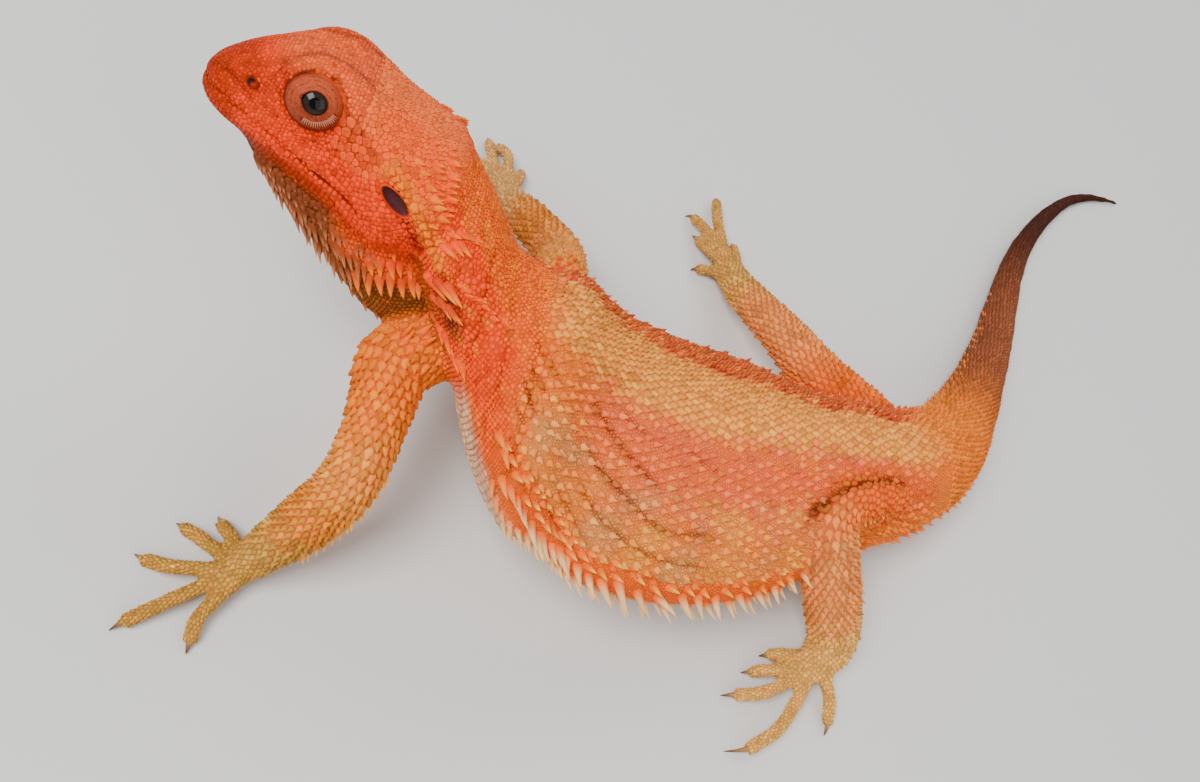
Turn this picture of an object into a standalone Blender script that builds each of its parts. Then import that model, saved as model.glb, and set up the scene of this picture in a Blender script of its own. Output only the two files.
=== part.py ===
"""Adult bearded dragon, life size and at rest: chest and head raised, belly and tail on the floor."""

import math

import bmesh
import bpy
import numpy as np
from mathutils import Matrix, Vector

MM = 0.001

# Driving dimensions, in millimetres
PART_GAP = 0.3
HEAD_HALF_WIDTH = 20.0
EYE_RADIUS = 4.4
LID_RADIUS = 6.2
LID_ROUNDNESS = 0.90
LID_HEIGHT = 3.4
EAR_LENGTH = 8.2
EAR_WIDTH = 3.6
EAR_DEPTH = 2.0
EAR_RISE = 27
NOSTRIL_RADIUS = 1.0
LIP_OVERHANG = 0.4
DIGIT_RADIUS = 1.75
CLAW_LENGTH = 3.8
CLAW_RADIUS = 0.95
SPINE_SINK = 1.8

# Segments round each kind of section
BODY_SEGMENTS = 28
TAIL_SEGMENTS = 14
HEAD_SEGMENTS = 32
BEARD_SEGMENTS = 20
LIMB_SEGMENTS = 11
DIGIT_SEGMENTS = 8
CLAW_SEGMENTS = 6
SPINE_SEGMENTS = 4
LIMB_RINGS = (8, 8, 6)

# Body line from the back of the head to the tip of the tail, in millimetres and degrees:
# x, y, height of the widest level, heading, pitch, roll, half width, height above, depth below,
# roundness above, roundness below
BODY_LINE = (
    (-66.4, -76.2, 66.9, 20, -12, 23, 19.0, 12.5, 13.0, 2.2, 2.2),
    (-56.5, -79.5, 59.5, 19, -16, 21, 19.5, 13.5, 14.5, 2.1, 2.2),
    (-45.5, -82.0, 50.5, 18, -12, 19, 20.5, 14.5, 17.0, 2.0, 2.2),
    (-34.4, -84.0, 44.0, 17, -6, 18, 27.5, 19.5, 23.0, 2.0, 2.7),
    (-23.8, -82.2, 37.6, 17, 0, 17, 36.5, 25.0, 26.0, 1.8, 2.9),
    (-14.6, -78.4, 28.0, 18, 0, 16, 40.0, 27.0, 18.5, 1.7, 2.5),
    (-5.1, -75.5, 24.0, 20, 0, 15, 43.0, 26.5, 17.5, 1.6, 2.6),
    (12.7, -66.5, 20.0, 23, 0, 13, 42.0, 26.0, 16.5, 1.55, 2.8),
    (31.7, -53.5, 18.0, 28, 0, 11, 37.0, 24.5, 15.5, 1.5, 3.0),
    (47.0, -42.0, 16.0, 32, 0, 8, 27.5, 23.0, 14.5, 1.55, 3.0),
    (56.9, -32.7, 15.5, 36, 0, 6, 23.0, 20.5, 14.5, 1.75, 2.8),
    (65.3, -26.0, 15.5, 41, 0, 4, 20.0, 18.5, 14.2, 1.9, 2.5),
    (71.5, -18.5, 15.0, 48, 0, 2, 18.0, 17.0, 13.5, 2.0, 2.3),
    (77.5, -9.0, 14.5, 58, 0, 0, 15.5, 14.5, 13.2, 2.0, 2.2),
    (82.0, 2.0, 12.5, 70, 0, 0, 13.0, 13.0, 12.0, 2.0, 2.2),
    (84.6, 17.0, 10.5, 80, 0, 0, 10.5, 11.0, 10.4, 2.0, 2.2),
    (86.2, 38.0, 8.2, 87, 0, 0, 8.0, 8.4, 8.3, 2.0, 2.2),
    (86.0, 60.0, 6.6, 92, 0, 0, 6.4, 6.6, 6.7, 2.0, 2.2),
    (84.4, 81.0, 5.4, 94, 0, 0, 5.2, 5.2, 5.5, 2.0, 2.2),
    (83.2, 100.0, 4.6, 91, 0, 0, 4.3, 4.3, 4.7, 2.0, 2.2),
    (84.2, 119.5, 3.8, 83, 0, 0, 3.6, 3.6, 3.9, 2.0, 2.2),
    (88.0, 139.8, 3.1, 74, 0, 0, 2.9, 2.9, 3.2, 2.0, 2.2),
    (94.2, 157.6, 2.3, 62, 0, 0, 2.2, 2.2, 2.4, 2.0, 2.2),
    (102.8, 169.6, 1.7, 47, 0, 0, 1.6, 1.6, 1.8, 2.0, 2.2),
    (113.9, 178.0, 1.1, 34, 0, 0, 0.9, 1.0, 1.2, 2.0, 2.2),
)
NECK_END = 2.35
TORSO_END = 13.0
TAIL_BASE_END = 15.6
TAIL_MID_END = 18.5
TAIL_END_END = 21.2
TAIL_TIP_END = 24.0

# Head frame: origin between the ears, then x to the snout, y to the left ear, z to the crown
HEAD_ORIGIN = (-74.8, -77.0, 72.4)
HEAD_HEADING = 200.25
HEAD_PITCH = 11.5
HEAD_ROLL = 23.0

# Head sections: x, half width, crown, widest level, underside, roundness above, roundness below
HEAD_SECTIONS = (
    (-9.0, 19.4, 9.6, -3.0, -16.0, 2.3, 2.2),
    (-4.0, 20.2, 11.0, -3.5, -16.6, 2.4, 2.3),
    (2.0, 20.0, 12.2, -4.5, -16.6, 2.5, 2.4),
    (8.0, 18.6, 13.2, -5.0, -16.0, 2.7, 2.4),
    (14.0, 16.4, 14.2, -4.5, -15.0, 3.1, 2.4),
    (20.0, 14.4, 15.2, -4.0, -13.8, 3.8, 2.4),
    (26.0, 12.8, 14.8, -3.8, -12.6, 3.8, 2.4),
    (31.0, 11.2, 12.6, -4.0, -11.6, 3.5, 2.4),
    (36.0, 9.4, 9.4, -4.2, -10.8, 3.2, 2.4),
    (40.0, 7.6, 6.4, -4.2, -10.0, 2.9, 2.4),
    (43.0, 5.6, 3.4, -4.0, -8.8, 2.6, 2.3),
    (44.8, 3.4, 1.0, -3.8, -7.4, 2.3, 2.2),
    (45.6, 1.4, -1.4, -3.6, -5.6, 2.0, 2.0),
)
HEAD_RINGS = 26

# Swellings of the head on each side: x, y, z, reach, then the push in x, y, z
HEAD_SWELLINGS = (
    (30.0, 9.5, 13.5, 4.5, 0.0, 0.6, 1.2),
    (22.5, 11.5, 15.0, 5.5, 0.0, 0.9, 2.2),
    (15.0, 13.5, 12.0, 5.0, 0.0, 0.8, 1.4),
    (33.5, 10.5, 2.5, 4.0, 0.0, -0.7, 0.0),
    (9.0, 17.5, 4.0, 6.0, 0.0, 0.8, 0.4),
    (2.0, 19.0, -11.0, 7.0, 0.0, 1.6, -0.6),
    (37.5, 7.5, 3.6, 2.4, 0.2, 0.8, 0.6),
)
CROWN_DIP = (24.0, 0.0, 15.5, 5.5, 0.0, 0.0, -1.4)
LID_CENTRE = (24.2, 11.8, 6.7)
LID_FACING = (0.0, 0.94, 0.34)
EYE_SETBACK = 0.1
EAR_CENTRE = (2.2, 20.0, -1.0)
NOSTRIL_CENTRE = (36.6, 9.2, 2.7)

# Mouth line seen from the side, from the snout back to the corner and down behind the jaw
MOUTH_LINE = (
    (60.0, -3.4),
    (45.0, -3.5),
    (36.0, -3.9),
    (29.0, -4.7),
    (23.8, -5.6),
    (18.9, -6.5),
    (12.0, -7.0),
    (6.5, -8.3),
    (4.4, -11.0),
    (4.0, -30.0),
    (60.0, -30.0),
)

# Beard under the jaw: x, half width, top, widest level, underside, roundness
BEARD_SECTIONS = (
    (34.0, 5.0, -8.0, -10.0, -12.8, 2.0),
    (29.0, 8.0, -8.0, -11.5, -15.6, 2.0),
    (22.0, 11.0, -9.0, -13.5, -19.5, 2.1),
    (14.0, 13.5, -9.0, -16.0, -24.0, 2.2),
    (6.0, 15.2, -9.0, -18.0, -29.5, 2.2),
    (-2.0, 15.6, -9.0, -21.0, -35.0, 2.1),
    (-9.0, 14.6, -10.0, -24.0, -38.0, 2.0),
    (-15.0, 12.4, -12.0, -25.0, -37.0, 2.0),
    (-20.0, 8.6, -15.0, -25.5, -33.0, 2.0),
    (-23.0, 4.5, -19.0, -25.5, -29.0, 2.0),
)
BEARD_RINGS = 13

# Limb lines: x, y, z, half thickness sideways, half thickness upwards
LEFT_ARM = (
    (-44.0, -86.0, 42.0, 8.0, 8.0),
    (-57.5, -99.0, 41.5, 9.6, 9.6),
    (-50.5, -113.0, 37.0, 6.8, 6.8),
    (-46.0, -128.5, 30.5, 6.6, 6.6),
    (-49.5, -137.0, 20.5, 6.8, 6.8),
    (-54.7, -146.5, 9.5, 5.0, 5.0),
    (-56.6, -149.4, 6.2, 5.4, 4.4),
    (-58.0, -152.4, 4.6, 5.0, 3.4),
    (-58.6, -153.8, 3.8, 3.6, 2.6),
)
RIGHT_ARM = (
    (-36.0, -64.0, 38.0, 8.0, 8.0),
    (-38.0, -52.0, 35.0, 8.0, 8.0),
    (-41.0, -42.0, 28.0, 6.8, 6.8),
    (-43.5, -30.0, 18.0, 6.6, 6.6),
    (-55.0, -23.0, 13.5, 6.4, 6.4),
    (-66.8, -16.3, 8.6, 5.0, 5.0),
    (-69.8, -13.6, 6.0, 5.6, 4.4),
    (-72.6, -10.8, 4.4, 5.2, 3.4),
    (-73.8, -9.4, 3.6, 3.8, 2.5),
)
LEFT_LEG = (
    (74.5, -25.0, 19.0, 7.4, 8.0),
    (72.0, -31.0, 22.0, 9.0, 9.5),
    (50.0, -60.5, 37.5, 6.2, 6.4),
    (66.5, -69.0, 18.5, 8.2, 8.0),
    (77.0, -74.5, 7.6, 7.0, 6.6),
    (76.2, -80.0, 5.2, 6.2, 4.8),
    (75.4, -85.0, 4.2, 5.2, 3.6),
    (75.1, -87.2, 3.6, 3.8, 2.6),
)
RIGHT_LEG = (
    (73.5, -15.5, 15.0, 6.4, 6.8),
    (70.0, -13.5, 16.5, 8.0, 8.0),
    (53.0, -11.5, 17.0, 8.2, 8.0),
    (36.0, -10.0, 17.5, 7.8, 7.4),
    (25.0, -4.5, 16.5, 7.0, 6.8),
    (14.0, 3.0, 12.0, 6.2, 6.0),
    (4.0, 10.0, 7.5, 5.4, 5.4),
    (-1.0, 16.0, 5.0, 5.6, 4.5),
    (-4.4, 19.8, 4.2, 5.2, 3.4),
    (-5.8, 21.4, 3.6, 3.8, 2.6),
)

# Where each limb is parted, as a share of its line: root of the limb, elbow or knee, wrist or ankle
ARM_PARTS = (0.0, 0.50, 0.81, 1.0)
LEG_PARTS = (0.0, 0.476, 0.815, 1.0)

# Digits: root, knuckle, last joint and end of the claw, each as x, y, z
LEFT_HAND_DIGITS = (
    ((-57.5, -148.0, 5.0), (-63.0, -145.4, 4.2), (-67.0, -143.6, 2.0), (-69.8, -141.9, 0.5)),
    ((-58.5, -150.3, 4.6), (-67.0, -149.6, 4.4), (-72.6, -149.4, 2.2), (-76.0, -149.0, 0.5)),
    ((-59.0, -152.0, 4.6), (-67.5, -158.6, 4.6), (-74.4, -160.2, 2.2), (-78.2, -160.2, 0.5)),
    ((-57.6, -152.0, 4.6), (-63.6, -164.4, 4.6), (-68.4, -173.0, 2.2), (-70.3, -176.9, 0.5)),
    ((-54.8, -151.5, 4.6), (-57.6, -163.0, 4.4), (-55.2, -168.4, 2.0), (-53.8, -171.6, 0.5)),
)
RIGHT_HAND_DIGITS = (
    ((-72.0, -12.5, 4.6), (-79.0, -13.4, 4.0), (-83.0, -13.0, 2.0), (-86.0, -12.2, 0.5)),
    ((-73.0, -11.0, 4.6), (-80.6, -8.6, 4.4), (-84.8, -5.2, 2.2), (-87.0, -2.8, 0.5)),
    ((-73.4, -10.2, 4.6), (-80.6, -4.2, 4.6), (-86.6, 3.6, 2.2), (-89.0, 6.9, 0.5)),
    ((-72.6, -9.6, 4.6), (-77.6, 1.6, 4.6), (-82.6, 5.2, 2.2), (-85.4, 7.2, 0.5)),
    ((-70.5, -10.5, 4.6), (-71.2, -4.0, 4.4), (-72.8, 1.2, 2.0), (-73.4, 4.6, 0.5)),
)
LEFT_FOOT_DIGITS = (
    ((73.5, -82.0, 4.4), (68.0, -84.6, 4.2), (64.8, -86.6, 2.2), (62.2, -88.2, 0.5)),
    ((74.0, -84.0, 4.4), (67.6, -90.0, 4.4), (62.8, -93.4, 2.2), (59.8, -95.4, 0.5)),
    ((74.6, -85.0, 4.4), (68.6, -97.0, 4.6), (61.6, -101.6, 2.2), (57.6, -104.2, 0.5)),
    ((75.6, -85.5, 4.4), (76.0, -101.5, 4.6), (70.4, -111.6, 2.3), (64.4, -116.4, 0.5)),
    ((77.0, -80.5, 4.2), (83.4, -86.6, 4.0), (86.2, -92.4, 2.0), (87.4, -96.4, 0.5)),
)
RIGHT_FOOT_DIGITS = (
    ((0.5, 13.6, 4.2), (-5.6, 13.4, 4.4), (-9.6, 12.6, 2.0), (-12.2, 11.0, 0.5)),
    ((-1.5, 17.0, 4.4), (-9.6, 18.6, 4.6), (-15.2, 22.2, 2.2), (-18.2, 24.0, 0.5)),
    ((-3.0, 19.0, 4.4), (-12.4, 24.6, 5.0), (-20.4, 29.2, 2.4), (-24.0, 29.2, 0.5)),
    ((-3.5, 20.0, 4.4), (-13.0, 29.6, 4.8), (-17.8, 41.0, 2.4), (-18.8, 45.0, 0.5)),
    ((0.0, 19.0, 4.2), (-2.4, 24.6, 4.0), (-4.6, 28.6, 2.0), (-6.2, 31.6, 0.5)),
)

# Spine rows: number, first and last place along the part, first and last angle in degrees above
# the widest level, first, middle and last length, and lean outwards, backwards and upwards
FRINGE = (28, 3.2, 9.4, -4.0, 0.0, 3.6, 6.6, 4.2, 1.0, 0.35, -0.1)
LOW_FRINGE = (13, 4.3, 9.2, -24.0, -20.0, 3.0, 4.4, 3.0, 0.9, 0.4, -0.35)
HIP_FRINGE = (7, 10.4, 12.7, 0.0, 0.0, 1.8, 2.2, 2.0, 1.0, 0.7, 0.0)
TAIL_FRINGE = (9, 13.35, 15.4, 0.0, 0.0, 2.2, 2.0, 1.6, 1.0, 0.9, 0.0)
JAW_CORNER = (4, 0.25, 0.65, -38.0, -4.0, 5.6, 6.6, 6.0, 0.95, 0.8, -0.1)
NECK_CLUSTER = (5, 1.15, 1.75, -48.0, -24.0, 3.4, 4.4, 3.8, 0.8, 0.8, -0.3)
NAPE = (4, 0.2, 0.75, 22.0, 48.0, 2.6, 3.0, 2.8, 0.6, 0.9, 0.3)
BEARD_ROW = (14, 1.2, 7.4, -30.0, 32.0, 3.2, 5.6, 5.0, 0.7, 0.5, -0.9)
BEARD_UPPER_ROW = (7, 3.6, 7.2, 6.0, 50.0, 2.6, 3.8, 3.6, 0.7, 0.5, -0.8)
OCCIPUT = (6, 0.3, 0.9, 24.0, 66.0, 2.6, 3.2, 2.4, 0.5, 0.9, 0.55)
SPINE_WIDTH = 0.38


def clear_scene():
    """Removes every object of the startup scene."""
    for item in list(bpy.data.objects):
        bpy.data.objects.remove(item, do_unlink=True)


def skin(name, colour, roughness):
    """Material with one flat colour for the part of this name."""
    material = bpy.data.materials.new(name)
    material.use_nodes = True
    shader = material.node_tree.nodes["Principled BSDF"]
    shader.inputs["Base Color"].default_value = (*colour, 1.0)
    shader.inputs["Roughness"].default_value = roughness
    material.diffuse_color = (*colour, 1.0)
    return material


def unit(vector):
    """The vector, or each row of vectors, at length one."""
    vector = np.asarray(vector, float)
    return vector / np.linalg.norm(vector, axis=-1, keepdims=True)


def smooth_rows(rows, places):
    """Rows between the given rows: a cubic curve through every column, at row numbers in places."""
    rows = np.asarray(rows, float)
    places = np.asarray(places, float)
    slopes = np.gradient(rows, axis=0)
    first = np.clip(places.astype(int), 0, len(rows) - 2)
    share = (places - first)[:, None]
    start = rows[first] * (1 + 2 * share) * (1 - share) ** 2
    start += slopes[first] * share * (1 - share) ** 2
    end = rows[first + 1] * share**2 * (3 - 2 * share)
    end += slopes[first + 1] * share**2 * (share - 1)
    return start + end


def section(angles, half_width, above, below, round_above, round_below):
    """Side and up distances of a rounded section, with its own roundness above and below."""
    cosine = np.cos(angles)
    sine = np.sin(angles)
    roundness = np.where(sine >= 0, round_above, round_below)
    side = half_width * np.sign(cosine) * np.abs(cosine) ** (2 / roundness)
    height = np.where(sine >= 0, above, below)
    return side, height * np.sign(sine) * np.abs(sine) ** (2 / roundness)


def frame_axes(heading, pitch, roll):
    """Forward, left and up axes of a body that looks back along the heading, left side rolled up."""
    along = np.array(
        [
            math.cos(heading) * math.cos(pitch),
            math.sin(heading) * math.cos(pitch),
            math.sin(pitch),
        ]
    )
    level_side = np.array([math.sin(heading), -math.cos(heading), 0.0])
    level_up = np.cross(level_side, along)
    side = math.cos(roll) * level_side + math.sin(roll) * level_up
    up = math.cos(roll) * level_up - math.sin(roll) * level_side
    return along, side, up


def body_row(place):
    """Centre, axes and section sizes of the body at this row number of the body line."""
    row = smooth_rows(BODY_LINE, [place])[0]
    along, side, up = frame_axes(*np.radians(row[3:6]))
    return row[:3], along, side, up, row[6:]


def body_rings(places, segments):
    """Rings of points round the body, kept above the floor."""
    angles = np.linspace(0, 2 * math.pi, segments, endpoint=False)
    rings = []
    for place in places:
        centre, _, side, up, sizes = body_row(place)
        out, height = section(angles, *sizes)
        rings.append(centre + np.outer(out, side) + np.outer(height, up))
    rings = np.array(rings)
    rings[..., 2] = np.maximum(rings[..., 2], 0.0)
    return rings


def body_point(place, angle):
    """Point on the body skin, with the axes there. The angle runs from the left side over the back."""
    centre, along, side, up, sizes = body_row(place)
    out, height = section(np.array([angle]), *sizes)
    return centre + out[0] * side + height[0] * up, along, side, up


def head_axes():
    """Forward, left and up axes of the head."""
    back, side, up = frame_axes(
        math.radians(HEAD_HEADING - 180), math.radians(-HEAD_PITCH), math.radians(HEAD_ROLL)
    )
    return np.array([-back, side, up])


def from_head(points):
    """Points of the head frame, moved to where the head is."""
    return np.asarray(HEAD_ORIGIN) + np.asarray(points, float) @ head_axes()


def swell(points, swelling):
    """Pushes the points near a centre, less and less with distance."""
    centre, reach, push = np.array(swelling[:3]), swelling[3], np.array(swelling[4:])
    distance = np.linalg.norm(points - centre, axis=-1, keepdims=True)
    return points + push * np.exp(-((distance / reach) ** 2))


def head_rings(places, segments, inset=0.0):
    """Rings of the head skin in the head frame, at these row numbers of the head sections."""
    angles = np.linspace(0, 2 * math.pi, segments, endpoint=False)
    rows = smooth_rows(HEAD_SECTIONS, places)
    rings = []
    for x, half_width, crown, widest, underside, round_above, round_below in rows:
        side, height = section(
            angles,
            half_width - inset,
            crown - widest - inset,
            widest - underside - inset,
            round_above,
            round_below,
        )
        rings.append(np.stack([np.full(segments, x), side, widest + height], -1))
    rings = np.array(rings)
    for swelling in HEAD_SWELLINGS:
        rings = swell(rings, swelling)
        mirrored = np.array(swelling) * (1, -1, 1, 1, 1, -1, 1)
        rings = swell(rings, mirrored)
    return swell(rings, CROWN_DIP)


def limb_curve(line, steps):
    """Points and thicknesses along a limb: a quadratic curve that rounds each corner of its line."""
    line = np.asarray(line, float)
    middles = (line[1:] + line[:-1]) / 2
    middles[0] = line[0]
    middles[-1] = line[-1]
    share = np.linspace(0, 1, steps, endpoint=False)[:, None]
    pieces = []
    for start, corner, end in zip(middles[:-1], line[1:-1], middles[1:]):
        bent = start * (1 - share) ** 2 + corner * 2 * share * (1 - share) + end * share**2
        pieces.append(bent)
    return np.vstack([*pieces, line[-1:]])


def along_curve(curve, shares):
    """Rows of a curve at shares of its length."""
    reach = np.linalg.norm(np.diff(curve[:, :3], axis=0), axis=1)
    reach = np.concatenate([[0], np.cumsum(reach)])
    wanted = np.asarray(shares) * reach[-1]
    return np.stack([np.interp(wanted, reach, column) for column in curve.T], -1), reach[-1]


def tube_rings(curve, shares, segments, grow=0.0, floor=True):
    """Rings round a limb or digit at shares of its length, kept above the floor."""
    rows, _ = along_curve(curve, shares)
    ahead, _ = along_curve(curve, np.clip(np.asarray(shares) + 0.01, 0, 1))
    behind, _ = along_curve(curve, np.clip(np.asarray(shares) - 0.01, 0, 1))
    along = unit(ahead[:, :3] - behind[:, :3])
    side = unit(np.cross(along, (0.0, 0.0, 1.0)))
    up = np.cross(side, along)
    angles = np.linspace(0, 2 * math.pi, segments, endpoint=False)
    out = np.cos(angles)[None, :, None] * side[:, None] * (rows[:, 3] + grow)[:, None, None]
    rise = np.sin(angles)[None, :, None] * up[:, None] * (rows[:, 4] + grow)[:, None, None]
    rings = rows[:, None, :3] + out + rise
    if floor:
        rings[..., 2] = np.maximum(rings[..., 2], 0.0)
    return rings


def solid(name, rings, material, start_point=None, end_point=None):
    """Closed mesh through the rings, in metres. Each end is flat, or runs to a point."""
    count, segments, _ = rings.shape
    points = [Vector(point) for point in rings.reshape(-1, 3) * MM]
    mesh = bmesh.new()
    corners = [mesh.verts.new(point) for point in points]
    for ring in range(count - 1):
        for place in range(segments):
            following = (place + 1) % segments
            mesh.faces.new(
                (
                    corners[ring * segments + place],
                    corners[ring * segments + following],
                    corners[(ring + 1) * segments + following],
                    corners[(ring + 1) * segments + place],
                )
            )
    for point, first in ((start_point, 0), (end_point, (count - 1) * segments)):
        loop = corners[first : first + segments]
        if point is None:
            mesh.faces.new(loop)
            continue
        tip = mesh.verts.new(Vector(np.asarray(point) * MM))
        for place in range(segments):
            mesh.faces.new((loop[place], loop[(place + 1) % segments], tip))
    bmesh.ops.recalc_face_normals(mesh, faces=mesh.faces)
    if mesh.calc_volume(signed=True) < 0:
        bmesh.ops.reverse_faces(mesh, faces=mesh.faces)
    data = bpy.data.meshes.new(name)
    mesh.to_mesh(data)
    mesh.free()
    item = bpy.data.objects.new(name, data)
    item.data.materials.append(material)
    bpy.context.scene.collection.objects.link(item)
    return item


def join(item, others, operation):
    """Joins the other meshes to this one, or cuts them out of it, and removes them."""
    group = bpy.data.collections.new(item.name + " pieces")
    bpy.context.scene.collection.children.link(group)
    for other in others:
        bpy.context.scene.collection.objects.unlink(other)
        group.objects.link(other)
    change = item.modifiers.new("join", "BOOLEAN")
    change.operand_type = "COLLECTION"
    change.collection = group
    change.operation = operation
    change.solver = "MANIFOLD"
    bpy.context.view_layer.objects.active = item
    bpy.ops.object.modifier_apply(modifier=change.name)
    for other in others:
        bpy.data.objects.remove(other, do_unlink=True)
    bpy.data.collections.remove(group)
    keep_largest(item)


def keep_largest(item):
    """Leaves only the largest closed surface of a mesh."""
    mesh = bmesh.new()
    mesh.from_mesh(item.data)
    waiting = set(mesh.verts)
    surfaces = []
    while waiting:
        reached = {waiting.pop()}
        edge = list(reached)
        while edge:
            corner = edge.pop()
            for link in corner.link_edges:
                other = link.other_vert(corner)
                if other in waiting:
                    waiting.discard(other)
                    reached.add(other)
                    edge.append(other)
        surfaces.append(reached)
    largest = max(surfaces, key=len)
    spare = [corner for surface in surfaces if surface is not largest for corner in surface]
    bmesh.ops.delete(mesh, geom=spare, context="VERTS")
    mesh.to_mesh(item.data)
    mesh.free()


def ellipsoid(name, centre, radii, axes, segments, rings, material):
    """Closed ball with a radius along each axis, in millimetres."""
    angles = np.linspace(0, 2 * math.pi, segments, endpoint=False)
    latitudes = np.linspace(-math.pi / 2, math.pi / 2, rings + 2)[1:-1]
    ball = np.stack(
        [
            np.cos(latitudes)[:, None] * np.cos(angles),
            np.cos(latitudes)[:, None] * np.sin(angles),
            np.repeat(np.sin(latitudes)[:, None], segments, 1),
        ],
        -1,
    )
    axes = np.asarray(axes, float)
    points = np.asarray(centre) + (ball * radii) @ axes
    top = np.asarray(radii)[2] * axes[2]
    return solid(name, points, material, centre - top, centre + top)


def head_point(point, side):
    """A point of the left side of the head, or of the right side when side is minus one."""
    return from_head(np.array(point) * (1, side, 1))


def lid_axes(side):
    """Forward, up and outward axes of the eyelid disc of one side."""
    outward = unit(np.array(LID_FACING) * (1, side, 1) @ head_axes())
    ahead = unit(head_axes()[0] - outward * (head_axes()[0] @ outward))
    return np.array([ahead, np.cross(outward, ahead), outward])


def build_head(material, jaw_material):
    """Skull with eyelid discs, eye sockets, nostrils and ear cups, and the jaw below the mouth line."""
    places = np.linspace(0, len(HEAD_SECTIONS) - 1, HEAD_RINGS)
    head = solid("head", from_head(head_rings(places, HEAD_SEGMENTS)), material)
    inner = from_head(head_rings(places, HEAD_SEGMENTS, LIP_OVERHANG))
    jaw = solid("lower_jaw", inner, jaw_material)
    axes = head_axes()
    lids = []
    cutters = [mouth_block("mouth cutter", material, 0.0)]
    for side in (1, -1):
        disc = lid_axes(side)
        centre = head_point(LID_CENTRE, side)
        sizes = (LID_RADIUS, LID_RADIUS * LID_ROUNDNESS, LID_HEIGHT)
        lids.append(ellipsoid("lid disc", centre, sizes, disc, 18, 7, material))
        sizes = (EYE_RADIUS + PART_GAP,) * 3
        eye = centre - disc[2] * EYE_SETBACK
        cutters.append(ellipsoid("eye socket", eye, sizes, disc, 14, 8, material))
        outward = axes[1] * side
        rise = math.radians(EAR_RISE)
        lengthwise = axes[0] * math.cos(rise) + axes[2] * math.sin(rise)
        ear_axes = (lengthwise, np.cross(outward, lengthwise), outward)
        sizes = (EAR_LENGTH / 2, EAR_WIDTH / 2, EAR_DEPTH)
        ear = head_point(EAR_CENTRE, side)
        cutters.append(ellipsoid("ear cup", ear, sizes, ear_axes, 12, 5, material))
        nostril = head_point(NOSTRIL_CENTRE, side)
        sizes = (NOSTRIL_RADIUS,) * 3
        cutters.append(ellipsoid("nostril", nostril, sizes, ear_axes, 8, 4, material))
    spines = spine_row("occipital spine", head_skin_point, OCCIPUT, material)
    join(head, lids + spines, "UNION")
    join(head, cutters, "DIFFERENCE")
    join(jaw, [mouth_block("jaw block", material, PART_GAP)], "INTERSECT")


def mouth_block(name, material, gap):
    """Block under the mouth line, wider than the head. The gap moves its top down and its back forward."""
    outline = np.array(MOUTH_LINE)
    outline[:-2, 1] -= gap
    outline[7:10, 0] += gap
    sides = []
    for y in (-2 * HEAD_HALF_WIDTH, 2 * HEAD_HALF_WIDTH):
        sides.append(np.insert(outline, 1, y, axis=1))
    return solid(name, from_head(np.array(sides)), material)


def build_eyes(material):
    """The two eyeballs, each a ball a little smaller than its socket."""
    for side, name in ((1, "eye_left"), (-1, "eye_right")):
        disc = lid_axes(side)
        centre = head_point(LID_CENTRE, side) - disc[2] * EYE_SETBACK
        ellipsoid(name, centre, (EYE_RADIUS,) * 3, disc, 14, 8, material)


def beard_rings(places, angles):
    """Rings of the beard in the head frame, at these row numbers of the beard sections."""
    rings = []
    for x, half_width, top, widest, underside, roundness in smooth_rows(BEARD_SECTIONS, places):
        side, height = section(
            angles, half_width, top - widest, widest - underside, roundness, roundness
        )
        rings.append(np.stack([np.full(len(angles), x), side, widest + height], -1))
    return np.array(rings)


def beard_point(place, angle):
    """Point on the beard, with the backward, left and up axes there."""
    axes = head_axes()
    point = from_head(beard_rings([place], np.array([angle]))[0, 0])
    return point, -axes[0], axes[1], axes[2]


def head_skin_point(place, angle):
    """Point on the back of the head, with the backward, left and up axes there."""
    axes = head_axes()
    row = smooth_rows(HEAD_SECTIONS, [place])[0]
    side, height = section(np.array([angle]), row[1], row[2] - row[3], row[3] - row[4], *row[5:])
    point = from_head((row[0], side[0], row[3] + height[0]))
    return point, -axes[0], axes[1], axes[2]


def build_beard(material, head_shape):
    """Pouch of skin under the jaw with its rows of spines, a narrow gap away from jaw and neck."""
    angles = np.linspace(0, 2 * math.pi, BEARD_SEGMENTS, endpoint=False)
    places = np.linspace(0, len(BEARD_SECTIONS) - 1, BEARD_RINGS)
    beard = solid("beard", from_head(beard_rings(places, angles)), material)
    spines = spine_row("beard spine", beard_point, BEARD_ROW, material)
    spines += spine_row("small beard spine", beard_point, BEARD_UPPER_ROW, material)
    join(beard, spines, "UNION")
    join(beard, head_shape, "DIFFERENCE")
    return beard


def spine_row(name, point_on, row, material, growth=0.0):
    """A row of curved spines on each side of a part, longest in the middle of the row."""
    count, first, last, first_angle, last_angle = row[:5]
    lengths, lean = row[5:8], np.array(row[8:11])
    spines = []
    for side in (1, -1):
        for share in np.linspace(0, 1, count):
            place = first + (last - first) * share
            rise = math.radians(first_angle + (last_angle - first_angle) * share)
            angle = rise if side == 1 else math.pi - rise
            base, along, left, up = point_on(place, angle)
            direction = unit(lean[0] * side * left + lean[1] * along + lean[2] * up)
            length = float(np.interp(share, (0, 0.5, 1), lengths))
            spines.append(spine(name, base, direction, along, length, material, growth))
    return spines


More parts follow.
